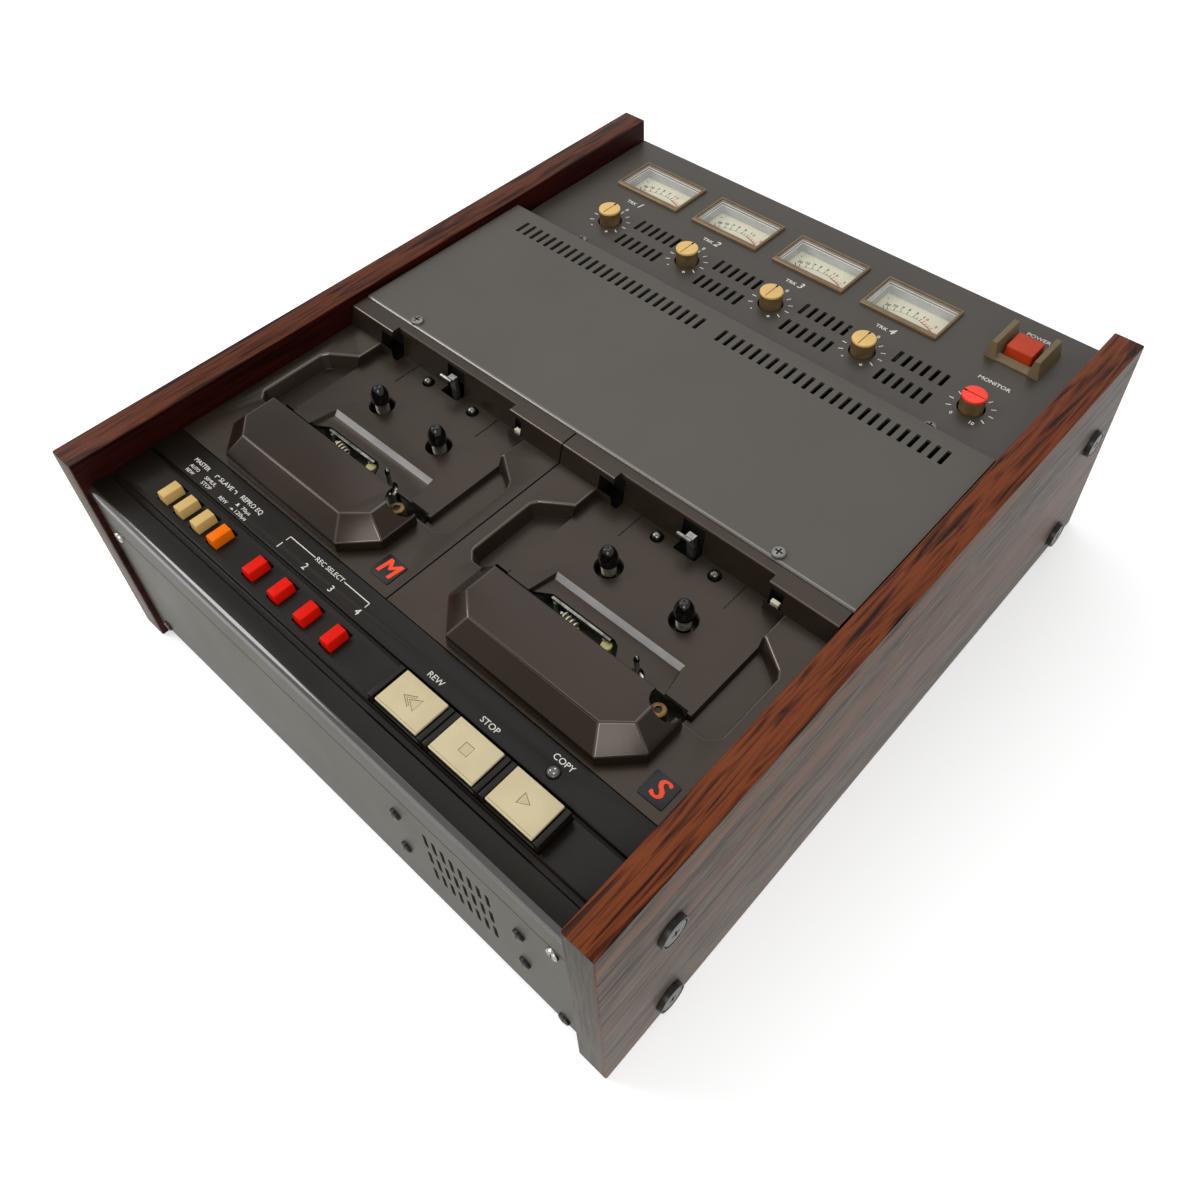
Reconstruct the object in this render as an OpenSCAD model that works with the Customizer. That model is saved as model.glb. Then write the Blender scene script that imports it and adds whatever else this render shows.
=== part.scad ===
// Cassette duplicator: two open cassette decks side by side in a sheet metal case between wooden cheeks.
// Millimetres. X runs left to right, Y front to back, Z up from the surface the cheeks stand on.

/* [Case] */
// Width across the two wooden cheeks
case_w = 341; // [340:1:350]
// Depth of the cheeks, front to back
case_d = 393; // [391:1:400]
// Height of the cheeks
case_h = 133; // [132:0.5:138]
// Thickness of one cheek
cheek_t = 15.5; // [13:0.5:16]
// Thickness of the steel sheet
sheet_t = 1.5; // [1:0.1:1.8]
// Height of the tray's underside above the surface it stands on
tray_z = 11; // [9:0.5:13]

/* [Levels] */
// Depth of the decks' rims below the tops of the cheeks
deck_drop = 14.5; // [14:0.5:16]
// Depth of the rear cover's top below the tops of the cheeks
cover_drop = 4; // [3:0.5:5]
// Thickness of the deck mouldings
deck_t = 2.5; // [2:0.1:3]

/* [Decks] */
// Distance between the two decks, spindle pair to spindle pair
deck_pitch = 153.5; // [153:0.1:154]
// Distance between the two spindles of a deck
spindle_pitch = 42.5; // [42:0.1:43]
// Radius of a spindle's ribbed cap
spindle_r = 4.3; // [3.9:0.1:4.8]
// Width of a head cover at its foot
hood_w = 111; // [109:0.5:112]
// Width of a head cover's flat top
hood_top_w = 91; // [86:0.5:96]
// Height of a head cover's upright skirt
hood_skirt = 5.5; // [4:0.5:7]
// Height of a head cover above the deck's rim
hood_h = 14.3; // [13:0.1:14.4]
// Wall of a head cover
hood_t = 2; // [1.5:0.1:2.4]
// Depth of the well that holds a cassette, below the deck's rim
well_depth = 5.5; // [5:0.1:6]
// Depth of the finger recesses below the floor of the well
recess_depth = 3.3; // [2.6:0.1:3.6]
// Radius of a capstan
capstan_r = 1.25; // [1:0.05:1.5]
// Radius of a pinch roller
roller_r = 6; // [5.5:0.1:6.2]
// Travel of a head plate toward the cassette
head_travel = 9; // [7:0.5:9.5]

/* [Controls] */
// Width of a transport key's pale cap
key_w = 23.6; // [22:0.2:25]
// Depth of a transport key
key_d = 16.8; // [15.5:0.1:17.2]
// Distance between neighbouring transport keys
key_pitch = 31.1; // [31:0.1:31.5]
// Travel of a transport key
key_travel = 3; // [2:0.5:3]
// Width of a small push button
button_w = 6.2; // [5:0.1:6.6]
// Depth of a small push button
button_d = 9.8; // [9:0.1:10.4]
// Height of a small push button above its strip
button_rise = 4.3; // [3.8:0.1:8]
// Distance between the four mode buttons
mode_pitch = 13; // [12.4:0.1:13.2]
// Distance between the four record buttons
select_pitch = 18; // [17.4:0.1:18.4]
// Radius of the copy lamp's lens
lamp_r = 2.7; // [2:0.1:3]

/* [Meters] */
// Width of a meter's frame
meter_w = 46.2; // [45:0.2:48]
// Depth of a meter's frame
meter_d = 28.8; // [28:0.2:30]
// Distance between neighbouring meters and level knobs
meter_pitch = 57.8; // [57:0.1:58.5]
// Radius of a level knob
knob_r = 6.2; // [5.5:0.1:6.5]
// Height of a level knob above the panel
knob_rise = 8.7; // [7:0.1:10]
// Height of the guard beside the power button
guard_h = 9.6; // [8:0.1:12]

/* [Vents] */
// Width of a vent slot
slot_w = 2.3; // [1.8:0.1:2.8]
// Length of a vent slot
slot_l = 10; // [8:0.5:11]
// Distance between neighbouring vent slots
slot_pitch = 5.35; // [5.2:0.05:5.4]

/* [Hidden] */
$fn = 48;
xi = case_w / 2 - cheek_t;
xh = xi - 1.5;
xs = xi - sheet_t - 0.3;
yf = -case_d / 2;
yr = case_d / 2;
y_bezel = yf + 2.2;
y_groove = yf + 15.5;
y_step = yf + 37.3;
y_deck = yf + 53.3;
y_cover = yf + 170;
y_panel = yr - 111;
y_front = yf + 3;
y_back = yr - 2;
zd = case_h - deck_drop;
zu = zd - deck_t;
zf = zd - well_depth;
zl = zf - 2;
zr = zf - recess_depth;
zs = zd - 1;
zc = case_h - cover_drop;
zp = zd + 1.5;
pu = zp - sheet_t;
zt = tray_z + sheet_t;
z_seam = zs - 25;
z_rail = zs - 5.5;
deck_x = [-deck_pitch / 2, deck_pitch / 2];
dv = yf + 196.5;
spin_y = -65.65 + dv;
cap_u = 23.2;
cap_y = -97.3 + dv;
piv_u = 45.4;
piv_y = -109.8 + dv;
arm_l = 22.3;
lev_u = 0.3;
tab_u = 45.7;
lev_y = -35.6 + dv;
run_y = cap_y - capstan_r - roller_r - 0.3;
run_a = 180 - asin((run_y - piv_y) / arm_l);
rest_a = run_a + 20.5;
plate_z = zf - 22;
lever_z = plate_z + 8.6;
fly_z = zt + 27.5;
head_z = zf - 3;
hood_cut = 14.5;
hood_front = -141.5 + dv;
hood_rear = -107 + dv;
hood_top_front = -132.4 + dv;
board_z = zs - 19.5;
mode_x = -120.3;
select_x = -54.4;
button_y = -170.1 + dv;
key_x = 48.5;
key_y = -169.8 + dv;
key_body_w = key_pitch - 0.4;
lamp_p = [108.4, -153 + dv];
meter_x = -110.8;
meter_y = 162 - dv;
knob_x = -111.4;
knob_y = 116.8 - dv;
mon_x = xh - 29.1;
pow_p = [xh - 29, 166.4 - dv];
pin_y = meter_y - 25.4;
dial_z = zp - 7;
needle_a = 33;
needle_l = 29.5;
screw_y = [yf + 38, yr - 28];
screw_z = [zt + 2.5, z_seam - 5.5];
rail_x = xi - 9.5;
rail_z = z_seam - 4;
bolts = [[54.5, z_seam - 19.5], [54, z_seam - 51], [126, z_seam - 21], [126, z_seam - 50.5]];
vent_x = 73;
vent_z = z_seam - 55;
vent_pitch = 5.14;
vent_row = 15.6;
vent_l = 11;

// Box given by its lower and upper corners
module box(a, b) {
    translate(a) cube([b[0] - a[0], b[1] - a[1], b[2] - a[2]]);
}

// Upright round post between two heights
module post(x, y, z0, z1, r) {
    translate([x, y, z0]) cylinder(r = r, h = z1 - z0);
}

// Round bar along X
module bar_x(x0, x1, y, z, r) {
    translate([x0, y, z]) rotate([0, 90, 0]) cylinder(r = r, h = x1 - x0);
}

// Round bar along Y
module bar_y(y0, y1, x, z, r) {
    translate([x, y1, z]) rotate([90, 0, 0]) cylinder(r = r, h = y1 - y0);
}

// Profile drawn in Y and Z, run along X
module run_x(x0, x1) {
    translate([x0, 0, 0]) rotate([90, 0, 90]) linear_extrude(x1 - x0) children();
}

// Profile drawn in X and Z, run along Y
module run_back(y0, y1) {
    translate([0, y1, 0]) rotate([90, 0, 0]) linear_extrude(y1 - y0) children();
}

module cheek(s) {
    x0 = s > 0 ? xi : -xi - cheek_t;
    c = 1;
    color("sienna") difference() {
        translate([x0, yr, 0]) rotate([90, 0, 0]) linear_extrude(case_d) polygon([[c, 0],
            [cheek_t - c, 0], [cheek_t, c], [cheek_t, case_h - c], [cheek_t - c, case_h],
            [c, case_h], [0, case_h - c], [0, c]]);
        for (y = screw_y) for (z = screw_z) bar_x(x0 - 1, x0 + cheek_t + 1, y, z, 2.1);
    }
}

module left_cheek() {
    cheek(-1);
}

module right_cheek() {
    cheek(1);
}

module cheek_screws() {
    xo = xi + cheek_t;
    color("dimgray") for (s = [0, 1]) mirror([s, 0, 0]) for (y = screw_y) for (z = screw_z) {
        difference() {
            bar_x(xo, xo + 2.8, y, z, 7.4);
            bar_x(xo + 1.6, xo + 3.5, y, z, 5.4);
        }
        bar_x(xi - sheet_t - 1, xo + 2.4, y, z, 2);
        bar_x(xo + 1.2, xo + 2.4, y, z, 4.4);
    }
}

// Slots with round ends
module front_vents() {
    for (r = [0:2]) for (i = [0:7]) {
        x = vent_x + i * vent_pitch;
        z0 = vent_z + r * vent_row + slot_w / 2;
        z1 = z0 + vent_l - slot_w;
        box([x - slot_w / 2, y_front - 1, z0], [x + slot_w / 2, y_front + 8, z1]);
        for (z = [z0, z1]) bar_y(y_front - 1, y_front + 8, x, z, slot_w / 2);
    }
}

module front_holes() {
    for (x = [-rail_x, rail_x]) for (z = [screw_z[0], rail_z]) bar_y(y_front - 1, y_front + 8, x, z, 1.6);
    for (p = bolts) bar_y(y_front - 1, y_front + 8, p[0], p[1], 1.6);
}

module bottom_tray() {
    color("gray") difference() {
        union() {
            box([-xi, y_front, tray_z], [xi, y_back, zt]);
            box([-xi, y_front, tray_z], [xi, y_front + sheet_t, z_seam]);
            box([-xi, y_back - sheet_t, tray_z], [xi, y_back, zu]);
            box([-xi, y_back - 8, zu - sheet_t], [xi, y_back, zu]);
            for (s = [0, 1]) mirror([s, 0, 0]) {
                box([xi - sheet_t, y_front, tray_z], [xi, y_back, zu]);
                box([xi - 7, y_front + 8, zu - sheet_t], [xi, y_back, zu]);
            }
        }
        for (s = [0, 1]) mirror([s, 0, 0]) for (y = screw_y) for (z = screw_z)
            bar_x(xi - sheet_t - 1, xi + 1, y, z, 2.1);
        front_vents();
        front_holes();
        box([-120, y_back - 5, 30], [-92, y_back + 1, 50]);
    }
}

module front_rail() {
    color("gray") difference() {
        run_x(-xs, xs) {
            translate([y_front, z_seam + 0.8]) square([sheet_t, z_rail - z_seam - 0.8]);
            translate([y_front, z_rail - sheet_t]) square([6, sheet_t]);
            translate([y_front + sheet_t, z_seam - 10]) square([sheet_t, 16]);
        }
        front_holes();
    }
}

module mains_inlet() {
    color("black") difference() {
        union() {
            box([-119.8, y_back - 24, 30.2], [-92.2, y_back, 49.8]);
            box([-130, y_back, 26], [-82, y_back + 1.5, 54]);
        }
        box([-118, y_back - 17, 32], [-94, y_back + 2, 48]);
        for (x = [-126, -86]) bar_y(y_back - 1, y_back + 2, x, 40, 1.6);
    }
    color("silver") for (p = [[-113, 41.5], [-106, 37.5], [-99, 41.5]])
        box([p[0] - 1, y_back - 17.5, p[1] - 2], [p[0] + 1, y_back - 4, p[1] + 2]);
}

module control_bezel() {
    color("#2b2826") difference() {
        union() {
            run_x(-xs, xs) polygon([[y_bezel, z_rail], [y_bezel, zs - 1.8], [y_bezel + 0.5, zs - 0.5],
                [y_bezel + 1.8, zs], [y_step, zs], [y_step, zd], [y_deck, zd], [y_deck, zu],
                [y_bezel + 2.3, zu], [y_bezel + 2.3, z_rail]]);
            run_x(-xh, xh) polygon([[y_bezel, zu], [y_bezel, zs - 1.4], [y_bezel + 0.5, zs - 0.5],
                [y_bezel + 1.8, zs], [y_step, zs], [y_step, zd], [y_deck, zd], [y_deck, zu]]);
            for (p = [[-124, -150.5], [20, -150.5], [124, -150.5], [-65, -184.5], [20, -184.5], [124, -184.5]])
                post(p[0], p[1] + dv, board_z + 1.6, zu + 0.5, 2.5);
        }
        box([-xh - 1, y_groove - 0.7, zs - 0.8], [xh + 1, y_groove + 0.7, zs + 1]);
        for (i = [0:3]) {
            button_slot(mode_x + i * mode_pitch);
            button_slot(select_x + i * select_pitch);
        }
        box([key_x - key_body_w / 2 - 0.6, key_y - key_d / 2 - 0.8, zu - 1],
            [key_x + 2 * key_pitch + key_body_w / 2 + 0.6, key_y + key_d / 2 + 0.8, zd + 1]);
        post(lamp_p[0], lamp_p[1], zu - 1, zd + 1, lamp_r + 0.05);
    }
}

module button_slot(x) {
    box([x - button_w / 2 - 0.8, button_y - button_d / 2 - 0.8, zu - 1],
        [x + button_w / 2 + 0.8, button_y + button_d / 2 + 1.6, zs + 1]);
}

// Plan of a deck's well, grown by e all round
function well(e) = [[-52.7 - e, -97.4 + dv - e], [52.7 + e, -97.4 + dv - e], [52.7 + e, y_cover - 12.8 + e],
    [42 + e, y_cover - 12.8 + e], [42 + e, y_cover - 7.8 + e], [-44.3 - e, y_cover - 7.8 + e],
    [-44.3 - e, y_cover - 12.8 + e], [-52.7 - e, y_cover - 12.8 + e]];

// Plan of a finger recess, grown by e all round, s is -1 for the left one and 1 for the right one
function recess(s, e) = [[s * (49 - e), -105 + dv - e], [s * (64.5 + e / 2), -105 + dv - e],
    [s * (69 + e), -100.5 + dv - e / 2], [s * (69 + e), -65.5 + dv + e / 2], [s * (67 + e / 2), -62.3 + dv + e],
    [s * (53.2 - e / 2), -52.9 + dv + e], [s * (51.5 - e), -56 + dv + e], [s * (51.5 - e), -97.4 + dv + e],
    [s * (49 - e), -97.4 + dv + e]];

module deck_cover(d, x0, x1) {
    c = deck_x[d];
    color("#463e38") difference() {
        union() {
            box([x0, y_deck + 0.2, zu], [x1, y_cover - 0.2, zd]);
            run_x(x0, x1) polygon([[y_cover - 12.8, zd - 0.5], [y_cover - 12.8, zd], [y_cover - 9.7, zc],
                [y_cover - 0.2, zc], [y_cover - 0.2, zd - 0.5]]);
            translate([c, 0, zf - deck_t]) linear_extrude(well_depth + deck_t - 0.5) polygon(well(1.5));
            for (s = [-1, 1]) translate([c, 0, zr - 1.5])
                linear_extrude(zd - zr + 1) polygon(recess(s, 1.5));
            translate([c, 0, zl - 2]) linear_extrude(2) polygon([[-37.5, -81.4 + dv], [37.5, -81.4 + dv],
                [40, -97.9 + dv], [-40, -97.9 + dv]]);
        }
        translate([c, 0, zf]) linear_extrude(40) polygon(well(0));
        run_x(c - 44.3, c + 42) polygon([[y_cover - 14, zf], [y_cover - 7.8, zf], [y_cover - 5, zc],
            [y_cover - 5, zc + 1], [y_cover - 14, zc + 1]]);
        for (s = [-1, 1]) translate([c, 0, zr]) linear_extrude(20) polygon(recess(s, 0));
        translate([c, 0, zl]) linear_extrude(20) polygon([[-35.5, -83.4 + dv], [35.5, -83.4 + dv],
            [38, -97.4 + dv], [-38, -97.4 + dv]]);
        translate([c, 0, zr - 5]) linear_extrude(30) polygon([[-61, -95.2 + dv], [-51.5, -95.2 + dv],
            [-51.5, -97.4 + dv], [50.5, -97.4 + dv], [50.5, -121 + dv], [37, -135 + dv], [-37, -135 + dv],
            [-50.5, -121 + dv], [-50.5, -105 + dv], [-61, -105 + dv]]);
        translate([c, 0, zl - 5]) linear_extrude(20) polygon([[-38.6, -98 + dv], [-38.6, -96.5 + dv],
            [-29.8, -91 + dv], [5.6, -91 + dv], [8.6, -92.6 + dv], [11.5, -97 + dv], [11.5, -98 + dv]]);
        post(c + cap_u, cap_y, zl - 5, zf + 1, capstan_r + 2);
        for (s = [-1, 1]) post(c + s * spindle_pitch / 2, spin_y, zf - 5, zf + 1, 6.2);
        for (u = [-16.4, 16.4]) post(c + u, -39.3 + dv, zf - 5, zf + 1, 3.3);
        box([c - 52.6, y_cover - 12.7, zf - 5], [c - 41.3, y_cover - 4.5, zc - 3]);
        box([c - 7.4, y_cover - 12.7, zf - 5], [c + 4.9, y_cover - 4, zc - 2.2]);
        box([c + 41.3, y_cover - 12.7, zf - 5], [c + 50.3, y_cover - 5.5, zc - 2.5]);
    }
}

module deck_cover_master() {
    deck_cover(0, -xh, -0.2);
}

module deck_cover_slave() {
    deck_cover(1, 0.2, xh);
}

// Solid of a head cover, set in by e from the outside
module hood(c, e) {
    w = hood_w / 2;
    zk = zd + hood_skirt;
    h = hood_h - hood_skirt;
    a1 = atan((hood_w - hood_top_w) / 2 / h);
    a2 = atan((hood_top_front - hood_front) / h);
    a3 = atan(9.6 / h);
    yb = e > 0 ? hood_rear + 5 : hood_rear;
    z0 = e > 0 ? zd - 1 : zd;
    k = hood_cut - e * 0.59;
    translate([c, 0, 0]) difference() {
        translate([0, 0, z0]) linear_extrude(zd + hood_h - e - z0) polygon([[-w + e, yb], [w - e, yb],
            [w - e, hood_front + e + k], [w - e - k, hood_front + e], [-w + e + k, hood_front + e],
            [-w + e, hood_front + e + k]]);
        for (s = [0, 1]) mirror([s, 0, 0]) {
            translate([w, hood_front - 10, zk]) rotate([0, -a1, 0]) translate([-e, 0, -20]) cube([60, 70, 80]);
            translate([w - hood_cut / 2, hood_front + hood_cut / 2, zk]) rotate([0, 0, -45]) rotate([0, -a3, 0])
                translate([-e, -40, -20]) cube([60, 80, 80]);
        }
        translate([-80, hood_front, zk]) rotate([-a2, 0, 0]) translate([0, e - 60, -20]) cube([160, 60, 80]);
    }
}

module head_cover(d) {
    c = deck_x[d];
    color("#4a423b") difference() {
        hood(c, 0);
        hood(c, hood_t);
        post(c + 48, -108.5 + dv, zd - 1, zd + 30, 6.3);
    }
}

module head_cover_master() {
    head_cover(0);
}

module head_cover_slave() {
    head_cover(1);
}

module rear_cover() {
    color("#645f58") difference() {
        union() {
            box([-xh, y_cover, zc - sheet_t], [xh, y_panel, zc]);
            box([-xs, y_cover, zd], [xs, y_cover + sheet_t, zc]);
            box([-xh, y_panel - sheet_t, zp], [xh, y_panel, zc]);
            for (s = [0, 1]) mirror([s, 0, 0]) {
                box([xh - sheet_t, y_cover, zu], [xh, y_panel - 6, zc]);
                box([xh - sheet_t, y_panel - 7, zp], [xh, y_panel, zc]);
            }
        }
        for (s = [0, 1]) mirror([s, 0, 0]) for (i = [0:24])
            box([7.2 + i * slot_pitch - slot_w / 2, y_panel - 14.5 - slot_l / 2, zc - 5],
                [7.2 + i * slot_pitch + slot_w / 2, y_panel - 14.5 + slot_l / 2, zc + 1]);
        for (x = [-117.5, 113]) post(x, y_cover + 4, zc - 5, zc + 1, 1.6);
    }
}

module meter_panel() {
    color("#5c5852") difference() {
        union() {
            box([-xh, y_panel - 5.5, pu], [xh, yr - 0.5, zp]);
            box([-xs, y_back, zu - 8], [xs, yr - 0.5, zp]);
            for (s = [0, 1]) mirror([s, 0, 0]) box([xh - sheet_t, y_panel - 5.5, zu], [xh, y_back - 0.5, pu]);
        }
        for (i = [0:3]) {
            x = meter_x + i * meter_pitch;
            box([x - meter_w / 2 + 1.6, meter_y - meter_d / 2 + 1.6, pu - 1],
                [x + meter_w / 2 - 1.6, meter_y + meter_d / 2 - 1.6, zp + 1]);
            post(knob_x + i * meter_pitch, knob_y, pu - 1, zp + 1, knob_r + 0.8);
            for (j = [0:5]) for (k = [0, 1]) {
                xj = knob_x + i * meter_pitch + 16 + j * slot_pitch;
                yk = knob_y - 13.6 + k * 16.8;
                box([xj - slot_w / 2, yk, pu - 1], [xj + slot_w / 2, yk + slot_l, zp + 1]);
            }
        }
        post(mon_x, knob_y, pu - 1, zp + 1, knob_r + 0.8);
        box([pow_p[0] - 7.6, pow_p[1] - 7.3, pu - 1], [pow_p[0] + 7.6, pow_p[1] + 7.3, zp + 1]);
        for (x = [-110, 117]) post(x, y_panel + 3.6, pu - 1, zp + 1, 1.6);
    }
}

module panel_screws() {
    color("silver") {
        for (x = [-117.5, 113]) {
            post(x, y_cover + 4, zc - sheet_t - 4, zc + 1.4, 1.5);
            post(x, y_cover + 4, zc, zc + 1.4, 3.1);
        }
        for (x = [-110, 117]) {
            post(x, y_panel + 3.6, pu - 4, zp + 1.4, 1.5);
            post(x, y_panel + 3.6, zp, zp + 1.4, 3.1);
        }
        for (x = [-rail_x, rail_x]) for (z = [screw_z[0], rail_z]) {
            bar_y(y_front - 1.4, y_front + 5, x, z, 1.5);
            bar_y(y_front - 1.4, y_front, x, z, 3.1);
        }
        for (p = bolts) {
            bar_y(y_front - 1.8, y_front + 5, p[0], p[1], 1.5);
            bar_y(y_front - 1.8, y_front, p[0], p[1], 3);
        }
    }
}

// Upright rectangular ring centred on x, y
module ring(x, y, w, d, wi, di, z0, z1) {
    difference() {
        box([x - w / 2, y - d / 2, z0], [x + w / 2, y + d / 2, z1]);
        box([x - wi / 2, y - di / 2, z0 - 1], [x + wi / 2, y + di / 2, z1 + 1]);
    }
}

module meter_frames() {
    color("#785f41") for (i = [0:3]) {
        x = meter_x + i * meter_pitch;
        ring(x, meter_y, meter_w, meter_d, meter_w - 6.6, meter_d - 6.6, zp, zp + 1.8);
        ring(x, meter_y, meter_w - 3.6, meter_d - 3.6, meter_w - 6.6, meter_d - 6.6, zp - 1, zp + 0.5);
    }
}

module meter_windows() {
    color([0.8, 0.85, 0.85, 0.4]) for (i = [0:3]) {
        x = meter_x + i * meter_pitch;
        box([x - meter_w / 2 + 3.35, meter_y - meter_d / 2 + 3.35, zp + 0.2],
            [x + meter_w / 2 - 3.35, meter_y + meter_d / 2 - 3.35, zp + 1.2]);
    }
}

module meter_cases() {
    color("#e1dcbe") for (i = [0:3]) {
        x = meter_x + i * meter_pitch;
        y = meter_y - meter_d / 2;
        difference() {
            union() {
                box([x - meter_w / 2 + 1.9, y + 1.9, zp - 22],
                    [x + meter_w / 2 - 1.9, meter_y + meter_d / 2 - 1.9, zp - 1]);
                box([x - 12, pin_y - 3.2, zp - 13], [x + 12, y + 2.5, pu - 0.3]);
            }
            box([x - meter_w / 2 + 3.3, y + 3.3, dial_z],
                [x + meter_w / 2 - 3.3, meter_y + meter_d / 2 - 3.3, zp]);
            box([x - 10.6, pin_y - 2, dial_z], [x + 10.6, y + 4, pu - 1.5]);
        }
        post(x, pin_y, dial_z, dial_z + 2.1, 0.6);
    }
}

module meter_needle(i) {
    color("black") translate([meter_x + i * meter_pitch, pin_y, dial_z + 0.7]) difference() {
        union() {
            cylinder(r = 1.4, h = 0.9);
            rotate([0, 0, needle_a]) translate([-0.25, 0, 0.2]) cube([0.5, needle_l, 0.5]);
        }
        translate([0, 0, -1]) cylinder(r = 0.66, h = 3);
    }
}

module meter_needle_1() {
    meter_needle(0);
}

module meter_needle_2() {
    meter_needle(1);
}

module meter_needle_3() {
    meter_needle(2);
}

module meter_needle_4() {
    meter_needle(3);
}

// Level knob with a pointer slot in its cap, turned by a degrees from the straight-back position
module knob(x, a) {
    color("#6e5a3c") translate([x, knob_y, 0]) rotate([0, 0, a]) difference() {
        union() {
            post(0, 0, pu - 4, zp + knob_rise, knob_r);
            post(0, 0, pu - 13, pu - 3, 3);
        }
        box([-0.4, -knob_r - 1, zp + knob_rise - 0.5], [0.4, knob_r + 1, zp + knob_rise + 1]);
    }
}

module track_knob_1() {
    knob(knob_x, 0);
}

module track_knob_2() {
    knob(knob_x + meter_pitch, 0);
}

module track_knob_3() {
    knob(knob_x + 2 * meter_pitch, 0);
}

module track_knob_4() {
    knob(knob_x + 3 * meter_pitch, 0);
}

module monitor_knob() {
    knob(mon_x, 90);
}

module power_guard() {
    x = pow_p[0];
    y = pow_p[1];
    color("#786950") {
        for (s = [-1, 1]) run_back(y - 12.4, y + 11.5) polygon([[x + s * 8.5, zp], [x + s * 14.9, zp],
            [x + s * 13, zp + guard_h], [x + s * 10.2, zp + guard_h]]);
        run_x(x - 9.5, x + 9.5) polygon([[y - 12.4, zp], [y - 8.1, zp], [y - 8.1, zp + 2.4],
            [y - 12.4, zp + 0.8]]);
    }
}

module power_button() {
    color("#be461e") union() {
        box([pow_p[0] - 7.1, pow_p[1] - 6.8, pu - 5], [pow_p[0] + 7.1, pow_p[1] + 6.8, zp + guard_h - 2.4]);
        post(pow_p[0], pow_p[1], pu - 15, pu - 4, 2);
    }
}

module small_button(x, shade) {
    color(shade) union() {
        box([x - button_w / 2, button_y - button_d / 2, zs - 7.5],
            [x + button_w / 2, button_y + button_d / 2, zs + button_rise]);
        post(x, button_y, zs - 14, zs - 7, 1.5);
    }
}

module auto_rewind_button() {
    small_button(mode_x, "#cdb26e");
}

module simul_stop_button() {
    small_button(mode_x + mode_pitch, "#cdb26e");
}

module slave_rewind_button() {
    small_button(mode_x + 2 * mode_pitch, "#cdb26e");
}

module eq_button() {
    small_button(mode_x + 3 * mode_pitch, "#f08200");
}

module record_select_1() {
    small_button(select_x, "#e62814");
}

module record_select_2() {
    small_button(select_x + select_pitch, "#e62814");
}

module record_select_3() {
    small_button(select_x + 2 * select_pitch, "#e62814");
}

module record_select_4() {
    small_button(select_x + 3 * select_pitch, "#e62814");
}

module key(i) {
    x = key_x + i * key_pitch;
    color("#26221f") union() {
        box([x - key_body_w / 2, key_y - key_d / 2 - 0.4, zs - 9],
            [x + key_body_w / 2, key_y + key_d / 2 + 0.4, zs + 4.6]);
        post(x, key_y, zs - 14, zs - 8, 2.5);
    }
    color("#d8cba5") box([x - key_w / 2, key_y - key_d / 2, zs + 4.6],
        [x + key_w / 2, key_y + key_d / 2, zs + 6]);
}

module rewind_key() {
    key(0);
}

module stop_key() {
    key(1);
}

module copy_key() {
    key(2);
}

module copy_lamp() {
    color("gray") {
        post(lamp_p[0], lamp_p[1], board_z + 1.6, zd + 0.6, lamp_r);
    }
}

module spindle(d, s) {
    x = deck_x[d] + s * spindle_pitch / 2;
    color("#1a1a1a") difference() {
        union() {
            post(x, spin_y, zf - 34.5, zf, 2);
            post(x, spin_y, zf - 14.5, zf - 8.5, 14);
            post(x, spin_y, zf - 9, zf + 3.5, spindle_r - 0.45);
            post(x, spin_y, zf + 3.2, zf + 8.5, spindle_r);
            translate([x, spin_y, zf + 8.5]) cylinder(r1 = spindle_r, r2 = 1.6, h = 4.5);
        }
        for (a = [0, 120, 240]) translate([x, spin_y, zf + 3.9]) rotate([0, 0, a + 30])
            translate([spindle_r - 0.9, -1.5, 0]) cube([5, 3, 12]);
    }
}

module supply_spindle_master() {
    spindle(0, -1);
}

module takeup_spindle_master() {
    spindle(0, 1);
}

module supply_spindle_slave() {
    spindle(1, -1);
}

module takeup_spindle_slave() {
    spindle(1, 1);
}

module mechanism(d) {
    c = deck_x[d];
    x0 = d == 0 ? -xh + 10.75 : c - 66;
    x1 = d == 0 ? c + 65 : xh - 11.75;
    difference() {
        union() {
            box([x0, -139 + dv, plate_z], [x1, -31 + dv, plate_z + 3]);
            for (x = [x0 + 5, x1 - 4]) for (y = [-134.5, -42]) post(x, y + dv, zt, zu, 3.5);
            for (u = [-30, 3])
                box([c + u, -136 + dv, plate_z + 2], [c + u + 7, -109 + dv + head_travel, head_z]);
            post(c + piv_u, piv_y, plate_z + 2, head_z - 0.5, 3.5);
            post(c + piv_u, piv_y, head_z - 1, head_z + 13.5, 1.5);
            for (u = [-16.4, 16.4]) post(c + u, -39.3 + dv, plate_z + 2, zf + 1.6, 2.2);
            for (u = [lev_u, tab_u]) {
                for (s = [-1, 1]) box([c + u + s * 3.6 - 0.9, lev_y - 2.5, plate_z + 2],
                    [c + u + s * 3.6 + 0.9, lev_y + 2.5, lever_z + 2.6]);
                bar_x(c + u - 4, c + u + 4, lev_y, lever_z, 1);
            }
        }
        for (s = [-1, 1]) post(c + s * spindle_pitch / 2, spin_y, plate_z - 1, plate_z + 5, 2.6);
        post(c + cap_u, cap_y, plate_z - 1, plate_z + 5, capstan_r + 0.05);
    }
}

module mechanism_plates() {
    color("#8a8f86") {
        mechanism(0);
        mechanism(1);
    }
}

module capstan(d) {
    x = deck_x[d] + cap_u;
    color("silver") union() {
        post(x, cap_y, fly_z - 11.5, zf + 9.5, capstan_r);
        post(x, cap_y, fly_z, fly_z + 10, 26);
    }
}

module capstan_master() {
    capstan(0);
}

module capstan_slave() {
    capstan(1);
}

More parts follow.
